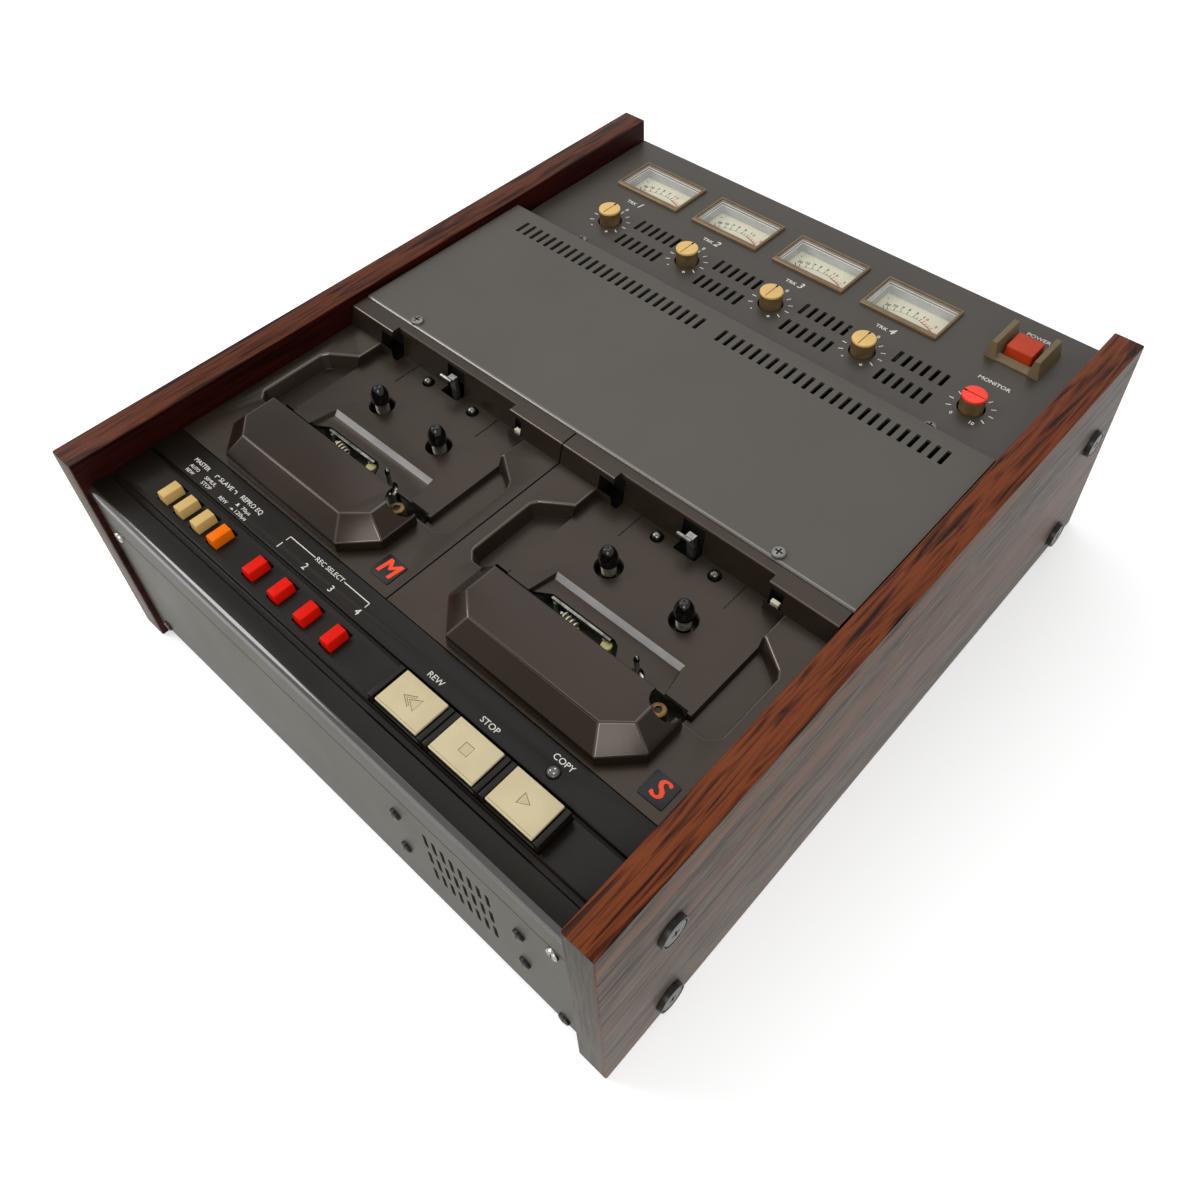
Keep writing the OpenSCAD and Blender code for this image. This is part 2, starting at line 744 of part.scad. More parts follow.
module head_plate(d) {
    c = deck_x[d];
    color("#b8b8b0") union() {
        box([c - 34, -133 + dv, head_z], [c + 12, -109 + dv, head_z + 2]);
        box([c - 7, -120 + dv, head_z + 1.5], [c + 7, -109.5 + dv, zf + 11]);
        box([c - 27, -119 + dv, head_z + 1.5], [c - 17, -109.5 + dv, zf + 10]);
    }
}

module head_plate_master() {
    head_plate(0);
}

module head_plate_slave() {
    head_plate(1);
}

module pinch_arm(d) {
    color("#b08d4a") translate([deck_x[d] + piv_u, piv_y, head_z - 0.5]) difference() {
        union() {
            cylinder(r = 3.2, h = 13.5);
            rotate([0, 0, rest_a]) translate([0, -2.5, 0]) cube([arm_l + 2.5, 5, 2.5]);
            rotate([0, 0, rest_a]) translate([arm_l, 0, 2]) cylinder(r = 1.2, h = 14);
        }
        translate([0, 0, -1]) cylinder(r = 1.55, h = 20);
    }
}

module pinch_arm_master() {
    pinch_arm(0);
}

module pinch_arm_slave() {
    pinch_arm(1);
}

module pinch_roller(d) {
    color("#1c1c1c") translate([deck_x[d] + piv_u, piv_y, head_z + 2]) rotate([0, 0, rest_a])
        translate([arm_l, 0, 0]) difference() {
            cylinder(r = roller_r, h = 12);
            translate([0, 0, -1]) cylinder(r = 1.25, h = 20);
        }
}

module pinch_roller_master() {
    pinch_roller(0);
}

module pinch_roller_slave() {
    pinch_roller(1);
}

module lever(d, u, top) {
    x = deck_x[d] + u;
    difference() {
        union() {
            bar_x(x - 2, x + 2, lev_y, lever_z, 2.2);
            box([x - 2, lev_y - 1, lever_z + 0.4], [x + 2, lev_y + 1, top]);
        }
        bar_x(x - 4, x + 4, lev_y, lever_z, 1.05);
    }
}

module cassette_lever(d) {
    color("silver") union() {
        lever(d, lev_u, zf + 11.6);
        box([deck_x[d] + lev_u - 2, lev_y - 3, zf + 10.6], [deck_x[d] + lev_u + 2, lev_y + 0.5, zf + 11.6]);
        bar_x(deck_x[d] + lev_u - 5.7, deck_x[d] + lev_u + 1.8, lev_y - 2.9, zf + 11.1, 1);
    }
}

module cassette_lever_master() {
    cassette_lever(0);
}

module cassette_lever_slave() {
    cassette_lever(1);
}

module tab_lever_master() {
    color("#e8dcc0") lever(0, tab_u, zf + 4);
}

module tab_lever_slave() {
    color("#e8dcc0") lever(1, tab_u, zf + 4);
}

// Switch body on the control board with a round bore for a button's stem
module switch_body(x, y, w, d, z1, r) {
    difference() {
        box([x - w / 2, y - d / 2, board_z + 1], [x + w / 2, y + d / 2, z1]);
        post(x, y, board_z + 2, z1 + 1, r);
    }
}

module circuit_boards() {
    color("darkgreen") {
        difference() {
            box([-xh + 25.5, -187.5 + dv, board_z], [xh - 23.5, -147.5 + dv, board_z + 1.6]);
            post(100, -151 + dv, board_z - 1, board_z + 3, 1.6);
        }
        for (i = [0:3]) {
            switch_body(mode_x + i * mode_pitch, button_y, 8, 9, zs - 10.4, 1.55);
            switch_body(select_x + i * select_pitch, button_y, 8, 9, zs - 10.4, 1.55);
        }
        for (i = [0:2]) switch_body(key_x + i * key_pitch, key_y, 14, 12, zs - 9.4 - key_travel, 2.55);
        box([-xh + 25.5, 101 - dv, pu - 20.6], [xh - 11.5, 133 - dv, pu - 19]);
        for (x = [-xh + 30.5, -40, 48, xh - 16.5]) post(x, 129.5 - dv, pu - 20, pu, 2.5);
        for (i = [0:3]) pot(knob_x + i * meter_pitch);
        pot(mon_x);
        difference() {
            union() {
                box([pow_p[0] - 10, pow_p[1] - 7, pu - 28], [pow_p[0] + 10, pow_p[1] + 7, pu - 9]);
                for (s = [-1, 1]) box([pow_p[0] + s * 9 - 1, pow_p[1] - 7, pu - 20],
                    [pow_p[0] + s * 9 + 1, pow_p[1] + 7, pu]);
            }
            post(pow_p[0], pow_p[1], pu - 24, pu + 1, 2.05);
        }
        difference() {
            box([-xh + 13.5, 0, zt + 9.5], [56, 150, zt + 11.1]);
            post(-60, 75, zt + 7.5, zt + 12.5, 1.6);
        }
        for (x = [-xh + 19.5, 50]) for (y = [6, 144]) post(x, y, zt, zt + 10, 3);
        for (p = [[-120, 30], [-120, 60], [-90, 30], [10, 120], [30, 120]])
            post(p[0], p[1], zt + 10.5, zt + 35.5, 9);
        box([-70, 100, zt + 10.5], [-20, 106, zt + 49.5]);
    }
}

// Rotary control body with its shaft bore
module pot(x) {
    difference() {
        post(x, knob_y, pu - 19.5, pu - 5, 8.5);
        post(x, knob_y, pu - 14, pu - 4, 3.05);
    }
}

module drive_motors() {
    color("#909090") for (d = [0, 1]) {
        c = deck_x[d];
        for (s = [-1, 1]) difference() {
            post(c + s * spindle_pitch / 2, spin_y, fly_z + 22, plate_z, 14);
            post(c + s * spindle_pitch / 2, spin_y, zf - 36, plate_z + 1, 2.05);
        }
        difference() {
            post(c + cap_u, cap_y, zt, fly_z - 4, 25);
            post(c + cap_u, cap_y, fly_z - 13, fly_z - 3, capstan_r + 0.05);
        }
    }
}

module transformer() {
    x = xh - 43.5;
    color("#6a5a48") difference() {
        union() {
            box([x - 26, 60, zt], [x + 26, 124, zt + 2]);
            box([x - 22, 70, zt + 1], [x + 22, 114, zt + 52]);
            box([x - 16, 62, zt + 14], [x + 16, 122, zt + 40]);
        }
        for (s = [-22, 22]) for (y = [64, 120]) post(x + s, y, zt - 1, zt + 3, 2);
    }
}

left_cheek();
right_cheek();
cheek_screws();
bottom_tray();
front_rail();
mains_inlet();
control_bezel();
deck_cover_master();
deck_cover_slave();
head_cover_master();
head_cover_slave();
rear_cover();
meter_panel();
panel_screws();
meter_frames();
meter_windows();
meter_cases();
meter_needle_1();
meter_needle_2();
meter_needle_3();
meter_needle_4();
track_knob_1();
track_knob_2();
track_knob_3();
track_knob_4();
monitor_knob();
power_guard();
power_button();
auto_rewind_button();
simul_stop_button();
slave_rewind_button();
eq_button();
record_select_1();
record_select_2();
record_select_3();
record_select_4();
rewind_key();
stop_key();
copy_key();
copy_lamp();
supply_spindle_master();
takeup_spindle_master();
supply_spindle_slave();
takeup_spindle_slave();
mechanism_plates();
capstan_master();
capstan_slave();
head_plate_master();
head_plate_slave();
pinch_arm_master();
pinch_arm_slave();
pinch_roller_master();
pinch_roller_slave();
cassette_lever_master();
cassette_lever_slave();
tab_lever_master();
tab_lever_slave();
circuit_boards();
drive_motors();
transformer();
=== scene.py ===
"""Finished look of a desktop cassette duplicator. Sizes in the sections are millimetres, scene units are metres."""
import math
import bpy
from mathutils import Matrix, Vector


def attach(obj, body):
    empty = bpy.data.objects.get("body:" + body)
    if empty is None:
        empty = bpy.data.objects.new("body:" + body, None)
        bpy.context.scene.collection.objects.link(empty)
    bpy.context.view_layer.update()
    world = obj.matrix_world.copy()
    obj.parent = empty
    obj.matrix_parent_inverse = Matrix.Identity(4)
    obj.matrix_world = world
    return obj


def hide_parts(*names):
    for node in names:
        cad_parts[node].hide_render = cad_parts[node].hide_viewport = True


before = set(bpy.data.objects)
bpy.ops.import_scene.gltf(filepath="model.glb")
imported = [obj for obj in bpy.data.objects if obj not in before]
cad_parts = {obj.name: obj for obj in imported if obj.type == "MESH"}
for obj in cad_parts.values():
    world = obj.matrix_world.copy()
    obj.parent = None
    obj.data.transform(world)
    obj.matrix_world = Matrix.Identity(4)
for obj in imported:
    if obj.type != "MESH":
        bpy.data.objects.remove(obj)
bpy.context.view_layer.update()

# Studio. The machine stands on a white floor under a large soft lamp, with smaller soft lamps at its right and left.
# The camera looks down over the right-hand front corner, as a person sees it who stands beside the bench.
scene = bpy.context.scene
scene.view_settings.view_transform = "Standard"

bpy.ops.object.camera_add()
camera = bpy.context.active_object
camera.name = "bench_camera"
camera.matrix_world = (Matrix.Translation((0.26495, -0.27756, 0.49568))
                       @ Matrix.Rotation(math.radians(43.60), 4, "Z")
                       @ Matrix.Rotation(math.radians(90 - 47.743), 4, "X")
                       @ Matrix.Rotation(math.radians(-1.732), 4, "Z"))
camera.data.sensor_width = 36
camera.data.lens = 33.42
camera.data.shift_x = -0.0158
camera.data.shift_y = -0.0989
scene.camera = camera


def soft_lamp(name, spot, aim, width, power):
    """Square soft lamp in a studio, metres and watts."""
    bpy.ops.object.light_add(type="AREA", location=spot)
    lamp = bpy.context.active_object
    lamp.name = name
    lamp.data.size = width
    lamp.data.energy = power
    lamp.rotation_euler = (Vector(aim) - Vector(spot)).to_track_quat("-Z", "Y").to_euler()


soft_lamp("overhead_lamp", (-0.35, 0.55, 1.5), (0, 0, 0.1), 1.4, 9.5)
soft_lamp("right_lamp", (0.7, -0.97, 0.87), (0.05, -0.05, 0.1), 0.6, 8)
soft_lamp("left_lamp", (-0.84, -0.5, 0.88), (-0.05, -0.05, 0.1), 0.65, 7.5)


def set_sockets(node, values):
    """Sets plain numbers and colours on the sockets of a shader node."""
    for socket, value in values.items():
        node.inputs[socket].default_value = value


pure_white = (1, 1, 1, 1)
room = bpy.data.worlds.new("white_room")
scene.world = room
room.use_nodes = True
nodes, links = room.node_tree.nodes, room.node_tree.links
rays = nodes.new("ShaderNodeLightPath")
seen, direct = nodes.new("ShaderNodeMath"), nodes.new("ShaderNodeMath")
seen.operation = direct.operation = "MAXIMUM"
glow, backdrop = nodes["Background"], nodes.new("ShaderNodeBackground")
set_sockets(glow, {"Strength": 0.4, "Color": pure_white})
set_sockets(backdrop, {"Strength": 1, "Color": pure_white})
choice = nodes.new("ShaderNodeMixShader")
links.new(rays.outputs["Is Camera Ray"], seen.inputs[0])
links.new(rays.outputs["Is Glossy Ray"], seen.inputs[1])
links.new(seen.outputs[0], direct.inputs[0])
links.new(rays.outputs["Is Transmission Ray"], direct.inputs[1])
links.new(direct.outputs[0], choice.inputs["Fac"])
links.new(glow.outputs[0], choice.inputs[1])
links.new(backdrop.outputs[0], choice.inputs[2])
links.new(choice.outputs[0], nodes["World Output"].inputs["Surface"])

bpy.ops.object.select_all(action="DESELECT")
bpy.ops.mesh.primitive_plane_add(size=12)
floor = bpy.context.active_object
floor.name = "studio_floor"
white_floor = bpy.data.materials.new("white_floor")
white_floor.use_nodes = True
set_sockets(white_floor.node_tree.nodes["Principled BSDF"],
            {"Base Color": (0.8, 0.8, 0.8, 1), "Roughness": 1, "Specular IOR Level": 0,
             "Emission Color": pure_white, "Emission Strength": 0.4})
floor.data.materials.append(white_floor)


# Steel tray and the rail above its front seam: folded sheet with a smooth grey-green stove enamel.
# Both are screwed to the cheeks from outside, and the rail carries the front edge of the control panel.
def shade(red, green, blue):
    """Colour as the eye sees it, 0 to 255, as the linear colour that a shader takes."""
    return [c / 3295 if c < 11 else ((c / 255 + 0.055) / 1.055) ** 2.4 for c in (red, green, blue)] + [1]


def darkening(parts):
    """Shader node that multiplies one colour by another."""
    made = parts.new("ShaderNodeMix")
    made.data_type = "RGBA"
    made.blend_type = "MULTIPLY"
    set_sockets(made, {"Factor": 1})
    return made


def finish(name, light, dark, patch, rough, metal=0.0, relief=0.0, grit=0.6, gloss=0.3, fleck=0.0):
    """Surface that drifts between two tones over patches of some mm, with fine grains in relief and in tone."""
    made = bpy.data.materials.new(name)
    made.use_nodes = True
    parts, wires = made.node_tree.nodes, made.node_tree.links
    skin = parts["Principled BSDF"]
    set_sockets(skin, {"Metallic": metal, "Specular IOR Level": gloss})
    where = parts.new("ShaderNodeTexCoord")
    cloud = parts.new("ShaderNodeTexNoise")
    set_sockets(cloud, {"Scale": 1000 / patch, "Detail": 5})
    tones = parts.new("ShaderNodeValToRGB")
    for element, at, tone in zip(tones.color_ramp.elements, (0.3, 0.7), (dark, light)):
        element.position, element.color = at, shade(*tone)
    wear = parts.new("ShaderNodeMapRange")
    set_sockets(wear, {"To Min": rough * 0.85, "To Max": rough * 1.15})
    wires.new(where.outputs["Object"], cloud.inputs["Vector"])
    wires.new(cloud.outputs["Fac"], tones.inputs["Fac"])
    wires.new(tones.outputs["Color"], skin.inputs["Base Color"])
    wires.new(cloud.outputs["Fac"], wear.inputs["Value"])
    wires.new(wear.outputs["Result"], skin.inputs["Roughness"])
    if relief or fleck:
        grains = parts.new("ShaderNodeTexNoise")
        set_sockets(grains, {"Scale": 1000 / grit, "Detail": 2})
        wires.new(where.outputs["Object"], grains.inputs["Vector"])
    if relief:
        bump = parts.new("ShaderNodeBump")
        set_sockets(bump, {"Strength": relief, "Distance": 0.0002})
        wires.new(grains.outputs["Fac"], bump.inputs["Height"])
        wires.new(bump.outputs["Normal"], skin.inputs["Normal"])
    if fleck:
        spread = parts.new("ShaderNodeMapRange")
        set_sockets(spread, {"From Min": 0.3, "From Max": 0.7, "To Min": 1 - fleck, "To Max": 1 + fleck})
        flecks = darkening(parts)
        wires.new(grains.outputs["Fac"], spread.inputs["Value"])
        wires.new(tones.outputs["Color"], flecks.inputs["A"])
        wires.new(spread.outputs["Result"], flecks.inputs["B"])
        wires.new(flecks.outputs["Result"], skin.inputs["Base Color"])
    return made


def coat(node, material):
    """Gives a piece that keeps its drawn shape its finish."""
    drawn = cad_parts[node].data
    drawn.materials.clear()
    drawn.materials.append(material)


case_enamel = finish("case_enamel", (60, 56, 43), (54, 50, 38), 40, 0.42, relief=0.05, grit=0.9, gloss=0.13, fleck=0.06)
coat("bottom_tray", case_enamel)
coat("front_rail", case_enamel)


# Case screws: bright pan-head screws under the front seam, black ones at its foot, four tall black bolts with brassy
# crosses that hold the parts behind the front wall, and grey ones on the covers. Turned from rod, the crosses punched.
def clear_selection():
    if bpy.context.mode != "OBJECT":
        bpy.ops.object.mode_set(mode="OBJECT")
    bpy.ops.object.select_all(action="DESELECT")


def held(name):
    """The piece just made, under its own name."""
    piece = bpy.context.active_object
    piece.name = piece.data.name = name
    return piece


def pick(piece):
    clear_selection()
    piece.select_set(True)
    bpy.context.view_layer.objects.active = piece


def block(name, low, high):
    """Block between two corners."""
    clear_selection()
    bpy.ops.mesh.primitive_cube_add(size=1, location=[(a + b) / 2000 for a, b in zip(low, high)])
    piece = held(name)
    piece.scale = [(b - a) / 1000 for a, b in zip(low, high)]
    bpy.ops.object.transform_apply(location=True, rotation=True, scale=True)
    return piece


def place(piece, spot, lean=(0, 0, 0)):
    """Leans a piece over by angles about X, Y and Z and stands it on a spot, all in its mesh."""
    pick(piece)
    piece.location = [c / 1000 for c in spot]
    piece.rotation_euler = [math.radians(a) for a in lean]
    bpy.ops.object.transform_apply(location=True, rotation=True)
    return piece


def face_outward():
    """Turns every face of the piece in hand outward."""
    bpy.ops.object.mode_set(mode="EDIT")
    bpy.ops.mesh.select_all(action="SELECT")
    bpy.ops.mesh.normals_make_consistent(inside=False)
    bpy.ops.object.mode_set(mode="OBJECT")


def turned(name, rings, spot=(0, 0, 0), sides=32):
    """Lathe-turned piece from (radius, height) rings, stood on its spot."""
    clear_selection()
    radius, height = rings[0]
    bpy.ops.mesh.primitive_circle_add(vertices=sides, radius=radius / 1000, fill_type="NGON",
                                      location=(0, 0, height / 1000))
    piece = held(name)
    bpy.ops.object.transform_apply(location=True)
    bpy.ops.object.mode_set(mode="EDIT")
    bpy.ops.mesh.select_all(action="SELECT")
    for wider, higher in rings[1:]:
        bpy.ops.mesh.extrude_region_move(TRANSFORM_OT_translate={"value": (0, 0, (higher - height) / 1000)})
        bpy.ops.transform.resize(value=(wider / radius, wider / radius, 1), center_override=(0, 0, higher / 1000))
        radius, height = wider, higher
    face_outward()
    return place(piece, spot)


def merge(piece, operation, tool):
    """Joins a tool to a piece, or cuts it out of it, and removes the tool."""
    pick(piece)
    step = piece.modifiers.new("step", "BOOLEAN")
    step.operation = operation
    step.solver = "EXACT"
    step.material_mode = "TRANSFER"
    step.object = tool
    bpy.ops.object.modifier_apply(modifier=step.name)
    bpy.data.meshes.remove(tool.data)


def cut(piece, tool):
    merge(piece, "DIFFERENCE", tool)


def gather(name, pieces):
    """Several loose pieces as one object."""
    clear_selection()
    for piece in pieces:
        piece.select_set(True)
    bpy.context.view_layer.objects.active = pieces[0]
    bpy.ops.object.join()
    return held(name)


def copy_of(piece, name, move, turn=0):
    """Twin of a piece with its own mesh, turned about Z in degrees and moved."""
    twin = piece.copy()
    twin.data = piece.data.copy()
    twin.name = twin.data.name = name
    twin.data.transform(Matrix.Translation([c / 1000 for c in move]) @ Matrix.Rotation(math.radians(turn), 4, "Z"))
    bpy.context.collection.objects.link(twin)
    return twin


def paint(piece, *materials):
    piece.data.materials.clear()
    for material in materials:
        piece.data.materials.append(material)
    return piece


def polish(piece, angle=35):
    """Rounded faces shade smooth and edges sharper than the angle stay crisp."""
    pick(piece)
    bpy.ops.object.mode_set(mode="EDIT")
    bpy.ops.mesh.select_all(action="SELECT")
    bpy.ops.mesh.remove_doubles(threshold=0.000002)
    face_outward()
    bpy.ops.object.shade_smooth_by_angle(angle=math.radians(angle))
    return piece


def fit(piece, body, slot, *drawn):
    """The piece moves with a body and stands for drawn pieces. The finish slot is not used."""
    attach(piece, body)
    if drawn:
        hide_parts(*drawn)
    return piece


def cross_screw(name, radius, height, metal, recess):
    """Pan head with a punched cross, its underside at the origin."""
    head = turned(name, [(radius, -0.3), (radius, height * 0.45), (radius * 0.93, height * 0.78),
                         (radius * 0.72, height * 0.95), (radius * 0.4, height)], sides=28)
    paint(head, metal)
    half, wide = radius * 0.58, radius * 0.12
    for low, high in (((-half, -wide), (half, wide)), ((-wide, -half), (wide, half))):
        cut(head, paint(block("punch", (*low, height - 0.9), (*high, height + 1)), recess))
    return polish(head)


def copies_at(made, spots, lean=(0, 0, 0)):
    """A copy of a modelled piece on each spot, in place of the one at the origin."""
    twins = [place(copy_of(made, made.name, (0, 0, 0)), spot, lean) for spot in spots]
    bpy.data.objects.remove(made)
    return twins


bright_steel = finish("bright_steel", (176, 175, 170), (120, 119, 115), 2, 0.22, metal=1)
black_steel_and_shade = finish("black_steel_and_shade", (30, 29, 28), (20, 19, 18), 6, 0.35, metal=0.4)
gun_metal = finish("gun_metal", (122, 121, 117), (94, 93, 90), 4, 0.35, metal=0.6)
pale_brass = finish("pale_brass", (190, 160, 100), (150, 122, 70), 3, 0.35, metal=1)
front_y, out_front = -193.5, (90, 0, 0)
rail_x, rail_z, foot_z = 145.5, 88.5, 15
seam_spots, foot_spots = ([(x, front_y, z) for x in (-rail_x, rail_x)] for z in (rail_z, foot_z))
bolt_spots = [(x, front_y, z) for x, z in ((54.5, 73), (54, 41.5), (126, 71.5), (126, 42))]
cover_spots, panel_spots = [(-117.5, -22.5, 129), (113, -22.5, 129)], [(-110, 91, 120), (117, 91, 120)]
# The black crosses in the bright and grey heads are painted shade in the recesses; the brassy crosses of the bolts are
# their own colour.
screws = copies_at(cross_screw("seam_screw", 3.1, 1.4, bright_steel, black_steel_and_shade), seam_spots, out_front)
screws += copies_at(cross_screw("foot_screw", 3.1, 1.4, black_steel_and_shade, black_steel_and_shade), foot_spots, out_front)
screws += copies_at(cross_screw("front_bolt", 3, 1.8, black_steel_and_shade, pale_brass), bolt_spots, out_front)
screws += copies_at(cross_screw("cover_screw", 3.3, 1.7, gun_metal, black_steel_and_shade), cover_spots)
screws += copies_at(cross_screw("panel_screw", 3.5, 2.7, gun_metal, black_steel_and_shade), panel_spots)
fit(gather("case_screws", screws), "case", "screw_steel", "panel_screws")


# Cheeks: boards faced with rosewood veneer, red-brown and streaky on the narrow top, with upright grain on the
# ends. The wide outer faces and the ends are painted greyer, a painted sheen on the lacquer, and the inner faces
# darker, painted shade. Their edges are slightly eased under a thin satin lacquer, and four screws hold each to the
# side wall of the tray. The whole machine stands on them.
def soften(piece, width, segments=3, angle=30):
    """Eases every edge sharper than the angle."""
    pick(piece)
    edge = piece.modifiers.new("edge", "BEVEL")
    edge.width = width / 1000
    edge.segments = segments
    edge.limit_method = "ANGLE"
    edge.angle_limit = math.radians(angle)
    bpy.ops.object.modifier_apply(modifier=edge.name)
    return piece


def veneer(name, tones, figure, pores, rough, blush=0.0, gloss=0.25, upright=False, fleck=(900, 22), dense=0.46):
    """Lacquered wood with its grain along Y, or upright: streaks in the given tones, dark pores and warm patches."""
    made = bpy.data.materials.new(name)
    made.use_nodes = True
    parts, wires = made.node_tree.nodes, made.node_tree.links
    skin = parts["Principled BSDF"]
    set_sockets(skin, {"Roughness": rough, "Specular IOR Level": gloss,
                       "Coat Weight": gloss / 8, "Coat Roughness": 0.25})
    where = parts.new("ShaderNodeTexCoord")

    def streaks(across, along, detail, swirl):
        stretch = parts.new("ShaderNodeMapping")
        set_sockets(stretch, {"Scale": (across, across, along) if upright else (across, along, across)})
        noise = parts.new("ShaderNodeTexNoise")
        set_sockets(noise, {"Scale": 1, "Detail": detail, "Distortion": swirl})
        wires.new(where.outputs["Object"], stretch.inputs["Vector"])
        wires.new(stretch.outputs["Vector"], noise.inputs["Vector"])
        return noise.outputs["Fac"]

    first, last = 0.33, 0.67
    ramp = parts.new("ShaderNodeValToRGB")
    ramp.color_ramp.elements[0].position = first
    ramp.color_ramp.elements[1].position = last
    for step in range(len(tones) - 2):
        ramp.color_ramp.elements.new(first + (last - first) * (step + 1) / (len(tones) - 1))
    for element, tone in zip(ramp.color_ramp.elements, tones):
        element.color = shade(*tone)
    pore = parts.new("ShaderNodeMapRange")
    set_sockets(pore, {"From Min": 0.34, "From Max": dense, "To Min": 1 - pores})
    dim = darkening(parts)
    bump = parts.new("ShaderNodeBump")
    set_sockets(bump, {"Strength": 0.12, "Distance": 0.0001})
    wires.new(streaks(figure, figure / 16, 6, 0.5), ramp.inputs["Fac"])
    wires.new(streaks(*fleck, 3, 0.2), pore.inputs["Value"])
    wires.new(ramp.outputs["Color"], dim.inputs["A"])
    wires.new(pore.outputs["Result"], dim.inputs["B"])
    warm = parts.new("ShaderNodeMix")
    warm.data_type = "RGBA"
    set_sockets(warm, {"B": shade(110, 80, 66)})
    zone = parts.new("ShaderNodeMapRange")
    set_sockets(zone, {"From Min": 0.42, "From Max": 0.64, "To Max": blush})
    wires.new(streaks(42, 2.5, 3, 0.6), zone.inputs["Value"])
    wires.new(zone.outputs["Result"], warm.inputs["Factor"])
    wires.new(dim.outputs["Result"], warm.inputs["A"])
    wires.new(warm.outputs["Result"], skin.inputs["Base Color"])
    wires.new(pore.outputs["Result"], bump.inputs["Height"])
    wires.new(bump.outputs["Normal"], skin.inputs["Normal"])
    return made


top_tones = [(20, 7, 3), (74, 31, 13), (102, 48, 22), (108, 53, 25), (80, 36, 16), (26, 10, 4)]
left_tones = [(14, 5, 3), (54, 23, 11), (80, 38, 20), (86, 42, 22), (58, 26, 13), (20, 8, 4)]
sheen_face_tones = [(52, 43, 37), (82, 72, 64), (99, 90, 81), (86, 75, 67), (58, 48, 41)]
sheen_end_tones = [(44, 40, 33), (60, 56, 48), (70, 66, 58), (62, 57, 49), (48, 43, 36)]
shade_inside_tones = [(16, 4, 2), (36, 8, 5), (46, 11, 6), (24, 5, 3)]
cheek_top = veneer("rosewood_edge", top_tones, 300, 0.6, 0.4, gloss=0.08)
left_top = veneer("rosewood_edge_dark", left_tones, 300, 0.6, 0.4, gloss=0.08)
cheek_face_sheen = veneer("rosewood_face_sheen", sheen_face_tones, 220, 0.65, 0.5, 0.75, gloss=0.13, fleck=(620, 48), dense=0.56)
cheek_end_sheen = veneer("rosewood_end_sheen", sheen_end_tones, 420, 0.35, 0.5, 0.25, gloss=0.12, upright=True)
cheek_inside_shade = veneer("rosewood_inside_shade", shade_inside_tones, 260, 0.4, 0.5, gloss=0.05)
cheek_in, cheek_out, cheek_front, cheek_rear, cheek_high = 155, 170.5, -196.5, 196.5, 133
# Outer faces take the greyer face veneer and ends the greyer end veneer, both a painted sheen; inner faces the dark
# one, painted shade.
for side, node in ((-1, "left_cheek"), (1, "right_cheek")):
    low, high = sorted((side * cheek_in, side * cheek_out))
    board = block(f"veneered_{node}", (low, cheek_front, 0), (high, cheek_rear, cheek_high))
    soften(board, 0.9)
    paint(board, cheek_top if side > 0 else left_top, cheek_face_sheen, cheek_inside_shade, cheek_end_sheen)
    for face in board.data.polygons:
        out, end = face.normal.x * side, abs(face.normal.y)
        face.material_index = 1 if out > 0.8 else 2 if out < -0.8 else 3 if end > 0.8 else 0
    fit(polish(board), "case", "rosewood", node)


# Cheek screws: flat-headed screws in thick black cup washers, four on the outside of each cheek. Pressed, turned and
# plated steel. They go through the cheeks into the side walls of the tray.
grey_zinc = finish("grey_zinc", (98, 97, 91), (80, 79, 74), 5, 0.4, metal=0.35, relief=0.05)
cup_rise, screw_rows, screw_levels = 2.8, (-158.5, 168.5), (15, 87)
slot_half, slot_wide, slot_floor = 2.1, 0.45, 1.9
cup_rings = [(7.4, -0.2), (7.4, 2.4), (7.15, cup_rise), (6.5, cup_rise), (6.35, 2.2), (0.5, 2.1)]
cup = polish(paint(turned("cup", cup_rings, sides=48), black_steel_and_shade))
disc = paint(turned("disc", [(6.05, 2.0), (6.05, 2.45), (5.85, 2.65), (2.2, 2.7)], sides=48), grey_zinc)
# The black in the cross slots of the discs is painted shade.
for half_x, half_y in ((slot_half, slot_wide), (slot_wide, slot_half)):
    cut(disc, paint(block("punch", (-half_x, -half_y, slot_floor), (half_x, half_y, 4)), black_steel_and_shade))
cup = gather("cup", [cup, polish(disc)])
cups = [place(copy_of(cup, "cup", (0, 0, 0)), (side * cheek_out, y, z), (0, 90 * side, 0))
        for side in (-1, 1) for y in screw_rows for z in screw_levels]
bpy.data.objects.remove(cup)
fit(gather("cheek_cups", cups), "case", "black_plastic", "cheek_screws")


# Mechanism under each deck: a plated steel plate on posts with the capstan, head plate, pinch arm and pinch roller.
# Stamped and turned steel, a brass arm and a rubber roller. Only what shows in the head slot is dressed further.
plated_steel = finish("plated_steel", (150, 152, 142), (124, 127, 118), 9, 0.4, metal=0.7)
polished_steel = finish("polished_steel", (222, 222, 220), (196, 196, 196), 6, 0.12, metal=1)
lever_steel = finish("lever_steel", (142, 142, 138), (92, 92, 89), 4, 0.3, metal=0.9)
bearing_brass = finish("bearing_brass", (226, 190, 112), (196, 156, 82), 5, 0.25, metal=1)
soft_rubber = finish("soft_rubber", (40, 38, 37), (28, 27, 26), 4, 0.7, relief=0.1)
tab_plastic = finish("tab_plastic", (236, 226, 200), (226, 212, 182), 5, 0.4)
deck_bodies = {"master": -76.75, "slave": 76.75}
coat("mechanism_plates", plated_steel)
for deck in deck_bodies:
    coat(f"capstan_{deck}", polished_steel)
    coat(f"head_plate_{deck}", plated_steel)
    coat(f"pinch_arm_{deck}", bearing_brass)
    coat(f"pinch_roller_{deck}", soft_rubber)
    coat(f"cassette_lever_{deck}", lever_steel)
    coat(f"tab_lever_{deck}", tab_plastic)


